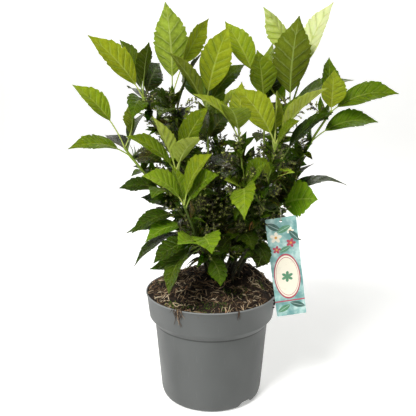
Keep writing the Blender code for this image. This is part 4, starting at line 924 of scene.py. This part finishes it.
def buildPot():
    wall, plateZ, rimZ = pot["wall"], pot["bodyFootZ"] + pot["plate"], pot["rimZ"]
    profile = [
        (0.0, pot["plate"], 0.0),
        (pot["dishRadius"] - pot["plate"], pot["plate"], 0.001),
        (pot["dishRadius"] + pot["dishSlope"] - pot["plate"], plateZ, 0.001),
        (potRadius(plateZ) - wall, plateZ, 0.002),
        (potRadius(pot["bodyTopZ"]) - wall, pot["bodyTopZ"], 0.001),
        (potRadius(pot["bandFootZ"]) - wall, pot["bandFootZ"], 0.001),
        (pot["rimRadius"] - wall, rimZ, 0.0009),
        (pot["rimRadius"], rimZ, 0.0009),
        (pot["rimRadius"] - 0.0002, rimZ - pot["lip"], 0.0003),
        (potRadius(rimZ - pot["lip"]) - pot["lipStep"], rimZ - pot["lip"] - 0.0004, 0.0003),
        (pot["bandFootRadius"], pot["bandFootZ"], 0.0009),
        (pot["bodyTopRadius"], pot["bodyTopZ"], 0.0005),
        (pot["bodyFootRadius"], pot["bodyFootZ"], 0.0045),
        (0.4 * pot["footRadius"] + 0.6 * pot["bodyFootRadius"], 0.25 * pot["bodyFootZ"], 0.0020),
        (pot["footRadius"], 0.0, 0.0006),
        (pot["skirtRadius"], 0.0, 0.0005),
        (pot["skirtRadius"], pot["bodyFootZ"], 0.0008),
        (pot["dishRadius"] + pot["dishSlope"], pot["bodyFootZ"], 0.001),
        (pot["dishRadius"], 0.0, 0.001),
        (0.0, 0.0, 0.0),
    ]
    bm = turnProfile(profile, pot["steps"])
    material = makeMaterial("moulded grey polypropylene", potMaterial)
    piece = finishPiece(bm, "pot_moulded", [material], ["pot"])
    punches = []
    for heading in pot["notchHeadings"]:
        # a lying six-sided punch, with its flat side up and its lower half under the ground
        sides = pot["notchSides"]
        across = 2 * pot["notchHeight"] / math.cos(math.pi / sides)
        size = Matrix.Diagonal((across, pot["notchWidth"], 1, 1))
        outwards = Matrix.Translation((pot["footRadius"] + pot["notchOutset"], 0, 0))
        place = Matrix.Rotation(math.radians(heading), 4, "Z") @ outwards
        punches.append((sides, 0.5, pot["notchDepth"], place @ Matrix.Rotation(math.pi / 2, 4, "Y") @ size))
    for index in range(pot["drains"]):
        turn = Matrix.Rotation(pot["drainTurn"] + 2 * math.pi * index / pot["drains"], 4, "Z")
        place = Matrix.Translation((pot["drainCircle"], 0, pot["bodyFootZ"] + pot["plate"] / 2))
        punches.append((pot["drainSides"], pot["drainRadius"], 3 * pot["plate"], turn @ place))
    punchHoles(piece, punches)
    piece.data.set_sharp_from_angle(angle=math.radians(38))


buildPot()


# The root ball: dark peat, crumbly and dry on top, strewn with straw fibre, roots and moss.

soil = {
    "edgeZ": 0.200, "edgeDrop": 0.004, "gap": 0.0003,
    "mound": 0.024, "tilt": 0.07, "tiltTowards": (0.6, 0.8),
    "clodHeight": 0.017, "clodRadius": 0.045, "clodPlace": (0.068, 0.05),
    "lumpsPerMetre": 45.0, "lumpHeight": 0.0044, "fineGrains": ((0.3, 150, 0.0024), (0.7, 420, 0.0014)),
    "rings": 44, "steps": 120,
    "peat": "#241A12", "peatDry": "#443322", "peatDark": "#0E0A07", "fleck": "#8A6A48",
    "straws": 2100, "strawRadius": (0.00025, 0.0012), "strawLength": (0.004, 0.018), "strawCurl": 0.06,
    "strawRise": (0.02, 0.12), "strawSteps": 5, "barePerMetre": 55, "bareShare": 1.6,
    "crumbs": 900, "crumbRadius": (0.0008, 0.0032), "crumbDents": (0.7, 1.2),
    "mossTufts": 420, "mossHeight": (0.0018, 0.0042), "mossRadii": (0.0007, 0.00012),
    "mossLean": (0.2, 1.2), "leaflets": 3,
    "mossPatches": (  # place and spread
        (-0.055, -0.094, 0.013), (-0.028, -0.104, 0.018), (-0.005, -0.102, 0.016), (0.020, -0.100, 0.012),
        (0.028, -0.062, 0.022), (0.052, -0.055, 0.018), (-0.072, -0.086, 0.012), (-0.09, 0.03, 0.02),
        (0.03, 0.10, 0.02), (0.088, -0.02, 0.014)),
}


def soilHeight(x, y):
    share = min(1.0, math.hypot(x, y) / (pot["rimRadius"] - pot["wall"]))
    crown = soil["mound"] * (1.0 - share ** 3)
    towards = soil["tiltTowards"][0] * x + soil["tiltTowards"][1] * y
    tilt = soil["tilt"] * towards * (1.0 - 0.9 * share ** 6)
    away = math.hypot(x - soil["clodPlace"][0], y - soil["clodPlace"][1]) / soil["clodRadius"]
    clod = soil["clodHeight"] * math.exp(-away ** 2) * (1.0 - share ** 8)
    lumps = noise.noise(Vector((x, y, 0.0)) * soil["lumpsPerMetre"]) * soil["lumpHeight"]
    fine = sum(noise.noise(Vector((x, y, z)) * dense) * high for z, dense, high in soil["fineGrains"])
    return soil["edgeZ"] + crown + tilt + clod + lumps + fine * (1.0 - 0.7 * share ** 8)


def soilEdge():
    return potRadius(soil["edgeZ"] - soil["edgeDrop"]) - pot["wall"] - soil["gap"]


def peatMaterial(add, place):
    broad = add("MapRange", add("TexNoise", place, 1 / (16 * mm), 4.0), 0.35, 0.65, **smooth)
    fine = add("MapRange", add("TexNoise", place, 1 / (1.8 * mm), 4.0), 0.35, 0.68, **smooth)
    flecks = add("MapRange", add("TexNoise", place, 1 / (1.1 * mm), 1.0), 0.68, 0.73, 0.0, 0.7, **smooth)
    colour = add("Mix", broad, srgb(soil["peat"]), srgb(soil["peatDry"]), **paint)
    colour = add("Mix", fine, srgb(soil["peatDark"]), colour, **paint)
    colour = add("Mix", flecks, colour, srgb(soil["fleck"]), **paint)
    crumble = add("TexNoise", place, 1 / (2.0 * mm), 5.0)
    return {"Base Color": colour, "Roughness": 0.95, "Normal": add("Bump", 1.0, 1.2 * mm, None, crumble)}


# Straw and wood fibre: dry, fibrous, tan to orange, each piece with a tone of its own.
# Moss: tiny soft leaflets, deep green in the shade and yellow-green at their ends.

fibreTones = {
    "straw": ((0.0, "#1E1610"), (0.3, "#43301F"), (0.5, "#7C6146"), (0.7, "#B39A78"), (0.9, "#E2D2B0"),
              (1.0, "#B87C50")),
    "moss": ((0.0, "#1E2A10"), (0.5, "#3C5418"), (0.85, "#5E7A22"), (1.0, "#8C9A3A")),
}


def fibreMaterial(add, place, tones, roughness, cloudMm, drift, grainMm):
    cloud = add("MapRange", add("TexNoise", place, 1 / (cloudMm * mm)), 0.3, 0.7, -drift, drift, **smooth)
    tone = add("Math", add("Attribute", attribute_name="tone", out="Fac"), cloud, **plus)
    grain = add("TexNoise", place, 1 / (grainMm * mm))
    return {"Base Color": add("ValToRGB", tone, stops=tones), "Roughness": roughness,
            "Normal": add("Bump", 1.0, 0.2 * mm, None, grain)}


strawFibre = makeMaterial("dry straw fibre", fibreMaterial, fibreTones["straw"], 0.75, 1.5, 0.08, 0.7)
cushionMoss = makeMaterial("cushion moss", fibreMaterial, fibreTones["moss"], 0.8, 3, 0.15, 0.8)
crumblyPeat = makeMaterial("crumbly peat", peatMaterial)


def layFibre(bm, x, y, heading, length, radius, tone, rise, wilt, curl, draw):
    # a fibre that follows the mound, with its ends free
    points, edge, steps = [], soilEdge() + 0.0005, soil["strawSteps"]
    for step in range(steps + 1):
        share = step / steps
        reach = math.hypot(x, y)
        if reach > edge:
            x, y = x * edge / reach, y * edge / reach
        lift = radius + rise * math.sin(math.pi * share) + wilt * share ** 2
        points.append(Vector((x, y, soilHeight(x, y) + lift)))
        heading += draw.uniform(-curl, curl)
        x += math.cos(heading) * length / steps
        y += math.sin(heading) * length / steps
    if all((b - a).length > 0.0004 for a, b in zip(points, points[1:])):
        radii = [radius * (1.0 - 0.55 * abs(2 * i / steps - 1) ** 2) for i in range(steps + 1)]
        addPart(bm, sweepTube(points, radii, 4), tone=tone)


def dentedCrumb(size, draw):
    crumb = bmesh.new()
    bmesh.ops.create_icosphere(crumb, subdivisions=1, radius=size)
    for vert in crumb.verts:
        vert.co *= draw.uniform(*soil["crumbDents"])
    return crumb


def spotOnSoil(draw, outermost):
    angle, reach = draw.uniform(0, 2 * math.pi), soilEdge() * math.sqrt(draw.uniform(0.02, outermost))
    return reach * math.cos(angle), reach * math.sin(angle)


def buildSoil():
    edge, gap = soilEdge(), soil["gap"]
    plateZ = pot["bodyFootZ"] + pot["plate"] + gap
    profile = [(edge * ring / soil["rings"], soil["edgeZ"], 0.0) for ring in range(soil["rings"])]
    profile += [(edge, soil["edgeZ"] - soil["edgeDrop"], 0.0)]
    for z in (pot["bandFootZ"], pot["bodyTopZ"], plateZ):
        profile.append((potRadius(z) - pot["wall"] - 2 * gap, z, 0.0))
    profile += [(pot["dishRadius"] + pot["dishSlope"] - pot["plate"], plateZ, 0.0), (0.0, plateZ, 0.0)]
    bm = turnProfile(profile, soil["steps"])
    for vert in bm.verts:
        if vert.co.z >= soil["edgeZ"] - 0.0001:
            vert.co.z = soilHeight(vert.co.x, vert.co.y)
    finishPiece(bm, "root_ball", [crumblyPeat], ["soil"])

    draw = random.Random(5)
    bm = newShape(("tone",))
    for _ in range(soil["straws"]):
        x, y = spotOnSoil(draw, 1.0)
        # fewer straws lie on some patches, and at the right of the mound
        bare = noise.noise(Vector((x, y, 0.9)) * soil["barePerMetre"]) * soil["bareShare"]
        bare += 0.35 if x > 0.03 else 0.1
        if draw.random() < bare:
            continue
        length = draw.uniform(*soil["strawLength"])
        radius = draw.uniform(*soil["strawRadius"])
        tone = draw.gauss(0.38, 0.18) if draw.random() < 0.72 else draw.gauss(0.76, 0.12)
        curl = soil["strawCurl"] * (3.0 if draw.random() < 0.10 else 1.0)
        standing = draw.uniform(0.004, 0.012) if draw.random() < 0.08 else draw.uniform(0.0, 0.002)
        rise = length * draw.uniform(*soil["strawRise"])
        heading, tone = draw.uniform(0, 6.3), min(1.0, max(0.0, tone))
        layFibre(bm, x, y, heading, length, radius, tone, rise, standing, curl, draw)
    finishPiece(bm, "straw_fibres", [strawFibre])

    bm = newShape(("tone",))
    for _ in range(soil["crumbs"]):
        x, y = spotOnSoil(draw, 0.97)
        size = draw.uniform(*soil["crumbRadius"])
        crumb = dentedCrumb(size, draw)
        spot = Matrix.Translation((x, y, soilHeight(x, y) + 0.2 * size))
        shape = Matrix.Diagonal((1.0, draw.uniform(0.6, 1.0), draw.uniform(0.4, 0.8), 1.0))
        turn = Matrix.Rotation(draw.uniform(0, 6.3), 4, "Z")
        addPart(bm, crumb, smooth=False, matrix=spot @ turn @ shape, tone=0.5)
    finishPiece(bm, "peat_crumbs", [crumblyPeat])

    bm = newShape(("tone",))
    for _ in range(soil["mossTufts"]):
        cx, cy, spread = draw.choice(soil["mossPatches"])
        x, y = draw.gauss(cx, spread * 0.5), draw.gauss(cy, spread * 0.5)
        if math.hypot(x, y) > edge - 0.001:
            continue
        high = draw.uniform(*soil["mossHeight"])
        foot, end = soil["mossRadii"]
        for _ in range(soil["leaflets"]):
            leaflet = bmesh.new()
            bmesh.ops.create_cone(leaflet, cap_ends=True, segments=3, radius1=foot, radius2=end, depth=high)
            turn = Matrix.Rotation(draw.uniform(0, 6.3), 4, "Z")
            lean = turn @ Matrix.Rotation(draw.uniform(*soil["mossLean"]), 4, "X")
            spot = Matrix.Translation((x, y, soilHeight(x, y) - 0.0003))
            matrix = spot @ lean @ Matrix.Translation((0, 0, high / 2))
            addPart(bm, leaflet, matrix=matrix, tone=draw.uniform(0.2, 1.0))
    finishPiece(bm, "moss_tufts", [cushionMoss])


buildSoil()


# Roots and crumbs that hang over the rim, where the root ball was lifted in.

spill = {
    "tufts": (  # heading in degrees, how far it hangs, strands, spread in degrees
        (-118.0, 0.031, 10, 3.4), (-118.0, 0.016, 10, 6.5), (-68.5, 0.016, 5, 1.8), (-5.0, 0.014, 5, 5.0)),
    "rootRadius": (0.00035, 0.0009), "wander": 0.012, "hangs": (0.25, 0.5, 0.75, 1.0), "turnDown": 0.0015,
    "clearance": (0.0002, 0.0015), "taper": 0.08,
    "crumbs": 60, "crumbHeadings": (-22.0, 8.0), "crumbRadius": (0.0008, 0.0022), "crumbFall": 0.03,
}


def hangRoot(bm, angle, drift, radius, reach, draw):
    # over the rim and down the wall; a station without a distance lies on the wall
    rim, inner, down = pot["rimRadius"], soilEdge(), pot["rimZ"] - spill["turnDown"]
    steps = [(inner - 0.012, None), (inner - 0.004, None), (rim - 0.5 * pot["wall"], pot["rimZ"] + radius),
             (rim + radius, down)]
    steps += [(None, down - reach * s) for s in spill["hangs"]]
    points = []
    for number, (distance, z) in enumerate(steps):
        turn = angle + drift * (number / 7) ** 1.5 + draw.uniform(-spill["wander"], spill["wander"])
        if distance is None:
            distance = potRadius(z) + radius + draw.uniform(*spill["clearance"])
        x, y = distance * math.cos(turn), distance * math.sin(turn)
        points.append(Vector((x, y, soilHeight(x, y) + radius if z is None else z)))
    radii = [radius * (1.0 - spill["taper"] * i) for i in range(len(points))]
    addPart(bm, sweepTube(points, radii, 5), tone=draw.uniform(0.05, 0.40) if draw.random() < 0.75 else 0.6)


def buildSpill():
    draw = random.Random(11)
    bm = newShape(("tone",))
    for heading, hang, strands, spread in spill["tufts"]:
        for _ in range(strands):
            angle = math.radians(heading + draw.uniform(-spread, spread) * 0.6)
            drift = math.radians(draw.uniform(-spread, spread))
            radius = draw.uniform(*spill["rootRadius"])
            hangRoot(bm, angle, drift, radius, hang * draw.uniform(0.4, 1.0), draw)
    finishPiece(bm, "hanging_roots", [strawFibre])

    bm = newShape(("tone",))
    for _ in range(spill["crumbs"]):
        angle = math.radians(draw.uniform(*spill["crumbHeadings"]))
        size = draw.uniform(*spill["crumbRadius"])
        z = pot["rimZ"] + 0.002 - spill["crumbFall"] * draw.random() ** 2
        distance = potRadius(z) + 0.3 * size if z < pot["rimZ"] else pot["rimRadius"] - 0.001
        crumb = dentedCrumb(size, draw)
        x, y = distance * math.cos(angle), distance * math.sin(angle)
        spot = Matrix.Translation((x, y, min(z, pot["rimZ"] + 0.3 * size)))
        addPart(bm, crumb, smooth=False, matrix=spot, tone=0.5)
    finishPiece(bm, "rim_crumbs", [crumblyPeat])


buildSpill()


# The hang tag: coated card, printed and die cut. A smooth, slightly glossy face with white cut edges.

tag = {
    "width": 0.054, "top": (0.1185, -0.066, 0.3565), "foot": (0.1475, -0.0435, 0.1687), "thickness": 0.0009,
    "corner": 0.002, "holeRadius": 0.0026, "holeInset": 0.006, "holeSides": 24, "rows": 24, "columns": 6,
    "aqua": "#8CBDB7", "aquaDeep": "#4A8A88", "aquaPale": "#C2DDD8", "cream": "#F3ECD8",
    "rose": "#B23A50", "leafGreen": "#4F8A64", "leafDark": "#2E5A50", "gold": "#D9A441",
    "edgeFibre": ("#DCD8CC", "#F2EFE6"),
    "flowers": (  # from the middle line and down from the top edge in metres, size, colour
        (-0.012, 0.036, 0.011, "cream"), (0.013, 0.049, 0.009, "rose"), (-0.013, 0.059, 0.008, "rose"),
        (0.014, 0.026, 0.007, "cream")),
    "leaves": (  # place as above, half length, half width, lean in radians, colour
        (-0.014, 0.016, 0.015, 0.0062, 0.6, "leafDark"), (0.003, 0.022, 0.014, 0.0058, -0.4, "leafGreen"),
        (0.020, 0.036, 0.014, 0.0056, 0.9, "leafDark"), (0.001, 0.060, 0.012, 0.0050, -0.4, "leafGreen"),
        (0.013, 0.171, 0.015, 0.0060, 0.4, "leafDark"), (-0.012, 0.176, 0.014, 0.0058, -0.5, "leafGreen")),
    "panel": (0.0, 0.113, 0.0225, 0.043), "sprig": (0.0, 0.113, 0.011),
    "panelLines": (
        (1.03, 1.05, "rose"), (0.95, 0.97, "cream"), (0.88, 0.89, "rose"), (0.855, 0.865, "cream")),
    "bandTop": (0.1600, 0.1604), "bandFoot": (0.1625, 0.1629),
}


def tagMatrix():
    up = (Vector(tag["top"]) - Vector(tag["foot"])).normalized()
    back = (Vector((0, 1, 0)) - up.y * up).normalized()
    matrix = Matrix((back.cross(up), back, up)).transposed().to_4x4()
    matrix.translation = Vector(tag["top"])
    return matrix


def cardMaterial(add, place):
    # the UV map holds the distances from the card's middle line and from its top edge, in metres
    spot = add("UVMap", uv_map="UVMap")
    x, y = add("SeparateXYZ", spot, out="X"), add("SeparateXYZ", spot, out="Y")
    mottled = add("MapRange", add("TexNoise", place, 1 / (9 * mm), 4.0), 0.35, 0.65, **smooth)
    blotches = add("MapRange", add("TexNoise", place, 1 / (22 * mm), 3.0), 0.40, 0.62, **smooth)
    layers = [(add("Math", blotches, 0.8, **times), "aquaDeep")]

    def ellipse(cx, cy, rx, ry):
        dx = add("Math", add("Math", x, cx, **minus), rx, **over)
        dy = add("Math", add("Math", y, cy, **minus), ry, **over)
        squares = add("Math", add("Math", dx, 2.0, **power), add("Math", dy, 2.0, **power), **plus)
        return add("Math", squares, operation="SQRT"), dx, dy

    def petals(cx, cy, size, count, turn):
        reach, dx, dy = ellipse(cx, cy, size, size)
        angle = add("Math", add("Math", dy, dx, operation="ARCTAN2"), turn, **plus)
        wave = add("Math", add("Math", angle, count / 2, **times), operation="COSINE")
        wave = add("Math", add("Math", wave, **positive), 0.55, **times)
        return add("Math", add("Math", wave, 0.45, **plus), reach, **minus), reach

    for cx, cy, size, name in tag["flowers"]:
        inside, reach = petals(cx, cy, size, 5, cx * 90)
        layers.append((add("MapRange", inside, 0.0, 0.06, **smooth), name))
        layers.append((add("MapRange", reach, 0.20, 0.26, 1.0, 0.0, **smooth), "gold"))
    for cx, cy, long, wide, lean, name in tag["leaves"]:
        dx, dy = add("Math", x, cx, **minus), add("Math", y, cy, **minus)
        along = add("Math", add("Math", dx, math.cos(lean) / long, **times),
                    add("Math", dy, math.sin(lean) / long, **times), **plus)
        aside = add("Math", add("Math", dy, math.cos(lean) / wide, **times),
                    add("Math", dx, math.sin(lean) / wide, **times), **minus)
        aside = add("Math", aside, **positive)
        reach = add("Math", add("Math", along, 2.0, **power), aside, **plus)
        layers.append((add("MapRange", reach, 0.92, 1.0, 1.0, 0.0, **smooth), name))
        # a pale rib that stops short of the leaf's edge
        rib = add("Math", aside, add("Math", reach, 0.05, **times), **plus)
        rib = add("MapRange", rib, 0.06, 0.12, 0.6, 0.0, **smooth)
        within = add("MapRange", reach, 0.85, 0.95, 1.0, 0.0, **smooth)
        layers.append((add("Math", rib, within, **times), "aquaPale"))
    panel = ellipse(*tag["panel"])[0]
    for inner, outer, name in tag["panelLines"]:
        layers.append((add("MapRange", panel, inner, outer, 1.0, 0.0, **smooth), name))
    layers.append((add("MapRange", petals(*tag["sprig"], 6, 0.4)[0], 0.0, 0.06, **smooth), "leafGreen"))
    below = add("MapRange", y, *tag["bandTop"], **smooth)
    above = add("MapRange", y, *tag["bandFoot"], 1.0, 0.0, **smooth)
    layers.append((add("Math", below, above, **times), "rose"))
    colour = add("Mix", mottled, srgb(tag["aqua"]), srgb(tag["aquaPale"]), **paint)
    for mask, name in layers:
        colour = add("Mix", mask, colour, srgb(tag[name]), **paint)
    rough = add("MapRange", add("TexNoise", place, 1 / (12 * mm)), 0.3, 0.7, 0.26, 0.40, **smooth)
    waves = add("TexNoise", place, 1 / (25 * mm), 1.0)
    return {"Base Color": colour, "Roughness": rough, "IOR": 1.5,
            "Normal": add("Bump", 1.0, 0.25 * mm, None, waves)}


def edgeMaterial(add, place):
    # the fibres of the cut are finer than 0.6 mm, and are drawn as coarse as they need to show
    fibre = add("MapRange", add("TexNoise", place, 1 / (0.6 * mm)), 0.3, 0.7, **smooth)
    dark, pale = tag["edgeFibre"]
    return {"Base Color": add("Mix", fibre, srgb(dark), srgb(pale), **paint), "Roughness": 0.7}


def buildTag():
    length = (Vector(tag["top"]) - Vector(tag["foot"])).length
    bm = newShape()
    bmesh.ops.create_cube(bm, size=1.0)
    bmesh.ops.scale(bm, vec=(tag["width"], tag["thickness"], length), verts=bm.verts)
    bmesh.ops.translate(bm, vec=(0, 0, -length / 2), verts=bm.verts)
    corners = [edge for edge in bm.edges if edge.calc_length() < 1.5 * tag["thickness"]]
    bmesh.ops.bevel(bm, geom=corners, offset=tag["corner"], offset_type="OFFSET", affect="EDGES",
                    segments=5, profile=0.5, material=-1)
    cuts = [((0, 0, -length * step / tag["rows"]), (0, 0, 1)) for step in range(1, tag["rows"])]
    for step in range(1, tag["columns"]):
        cuts.append((((step / tag["columns"] - 0.5) * tag["width"], 0, 0), (1, 0, 0)))
    for place, across in cuts:
        bmesh.ops.bisect_plane(bm, geom=bm.verts[:] + bm.edges[:] + bm.faces[:], dist=1e-6,
                               plane_co=place, plane_no=across)
    uvMap = bm.loops.layers.uv["UVMap"]
    for face in bm.faces:
        face.material_index = 0 if abs(face.normal.y) > 0.9 else 1
        for loop in face.loops:
            loop[uvMap].uv = (loop.vert.co.x, -loop.vert.co.z)
    card = makeMaterial("printed coated card", cardMaterial)
    cutEdge = makeMaterial("white card edge", edgeMaterial)
    piece = finishPiece(bm, "printed_tag", [card, cutEdge], ["label"])
    through = Matrix.Translation((0, 0, -tag["holeInset"])) @ Matrix.Rotation(math.pi / 2, 4, "X")
    punchHoles(piece, [(tag["holeSides"], tag["holeRadius"], 0.01, through)])
    piece.data.transform(tagMatrix())


# The tie: thin twisted cotton twine, fibrous and off-white, round a twig and through the tag's hole.

tie = {
    "radius": 0.0006, "gap": 0.0003, "from": 60, "step": 20, "points": 13, "sides": 8,
    "twine": ("#B9B6A4", "#E4E2D4"),
}


def twineMaterial(add, place):
    strands = add("MapRange", add("TexNoise", place, 1 / (0.9 * mm)), 0.35, 0.65, **smooth)
    dark, pale = tie["twine"]
    return {"Base Color": add("Mix", strands, srgb(dark), srgb(pale), **paint), "Roughness": 0.85,
            "Normal": add("Bump", 1.0, 0.15 * mm, None, strands)}


def buildTie():
    gap, radius = tie["gap"], tie["radius"]
    twig = next(plant for plant in stems if plant["name"] == "stem_middle")["branches"][0]
    path = smoothPath(twig["path"], steps=2)
    centre = path[-2]
    along = (path[-1] - path[-2]).normalized()
    seat = Vector((0, 0, tag["holeRadius"] - radius - 2 * gap - tag["holeInset"]))
    aside = Vector((0, tag["thickness"] / 2 + 2 * radius, 0))
    front, behind = tagMatrix() @ (seat - aside), tagMatrix() @ (seat + aside)
    towards = tagMatrix() @ seat - centre
    towards = (towards - towards.dot(along) * along).normalized()
    forward = towards.cross(along)
    reach = plantLook["twigRadius"] + radius + gap
    points = [behind, front]
    for step in range(tie["points"]):
        angle = math.radians(tie["from"] + tie["step"] * step)
        points.append(centre + (towards * math.cos(angle) + forward * math.sin(angle)) * reach)
    bm = newShape()
    addPart(bm, sweepTube(points, [radius] * len(points), tie["sides"], closed=True))
    twine = makeMaterial("twisted cotton twine", twineMaterial)
    finishPiece(bm, "twine_tie", [twine], ["label_tie"])


buildTag()
buildTie()


# Studio: a pale sweep, soft lights and the camera at the photograph's angle

studio = {
    "sweepWidth": 9.0, "sweepFront": -3.5, "sweepBack": 2.6, "sweepBend": 1.2, "sweepTop": 4.0,
    "bendSteps": 12, "white": "#F4F4F2", "world": 0.12, "glowFrom": (0.3, 2.4), "glow": (0.40, 0.58),
    "lights": (  # name, place, size, watts
        ("key", (-1.0, -1.5, 2.2), 0.9, 78.0), ("fill", (1.7, -1.4, 1.1), 1.5, 5.0),
        ("back", (0.5, 1.5, 2.1), 1.2, 20.0)),
    "aim": (0.02, 0.0, 0.38),
    "cameraPlace": (-0.0062, -0.982, 0.569), "cameraPitch": 12.05, "lens": 47.22, "sensor": 36.0,
}


def paperMaterial(add, place):
    # the paper glows a little, and more towards the back
    away = add("SeparateXYZ", place, out="Y")
    glow = add("MapRange", away, *studio["glowFrom"], *studio["glow"], **smooth)
    white = srgb(studio["white"])
    return {"Base Color": white, "Roughness": 0.9, "Emission Color": white, "Emission Strength": glow}


def buildStudio():
    bm = bmesh.new()
    flat = [(studio["sweepFront"], 0.0), (studio["sweepBack"], 0.0)]
    for step in range(1, studio["bendSteps"] + 1):
        angle = math.pi / 2 * step / studio["bendSteps"]
        rise = studio["sweepBend"] * (1 - math.cos(angle))
        flat.append((studio["sweepBack"] + studio["sweepBend"] * math.sin(angle), rise))
    flat.append((flat[-1][0], studio["sweepTop"]))
    verts = [bm.verts.new((-studio["sweepWidth"] / 2, y, z)) for y, z in flat]
    edges = [bm.edges.new(pair) for pair in zip(verts, verts[1:])]
    pushed = bmesh.ops.extrude_edge_only(bm, edges=edges)["geom"]
    moved = [item for item in pushed if isinstance(item, bmesh.types.BMVert)]
    bmesh.ops.translate(bm, vec=(studio["sweepWidth"], 0, 0), verts=moved)
    for face in bm.faces:
        face.smooth = True
    bmesh.ops.recalc_face_normals(bm, faces=bm.faces)
    sweep = asObject(asMesh(bm, "sweep"), "sweep")
    sweep.data.materials.append(makeMaterial("matt paper sweep", paperMaterial))

    world = bpy.data.worlds.new("studio")
    world.use_nodes = True
    world.node_tree.nodes["Background"].inputs["Color"].default_value = (1.0, 1.0, 1.0, 1.0)
    world.node_tree.nodes["Background"].inputs["Strength"].default_value = studio["world"]
    scene.world = world
    for name, place, size, watts in studio["lights"]:
        light = asObject(bpy.data.lights.new(name, "AREA"), name)
        light.data.size = size
        light.data.energy = watts
        light.location = place
        light.rotation_euler = (Vector(studio["aim"]) - Vector(place)).to_track_quat("-Z", "Y").to_euler()
    camera = asObject(bpy.data.cameras.new("camera"), "camera")
    camera.data.sensor_width = studio["sensor"]
    camera.data.lens = studio["lens"]
    camera.location = studio["cameraPlace"]
    camera.rotation_euler = (math.radians(90 - studio["cameraPitch"]), 0.0, 0.0)
    scene.camera = camera
    scene.view_settings.view_transform = "Standard"
    scene.view_settings.look = "None"
    print("made studio")


buildStudio()
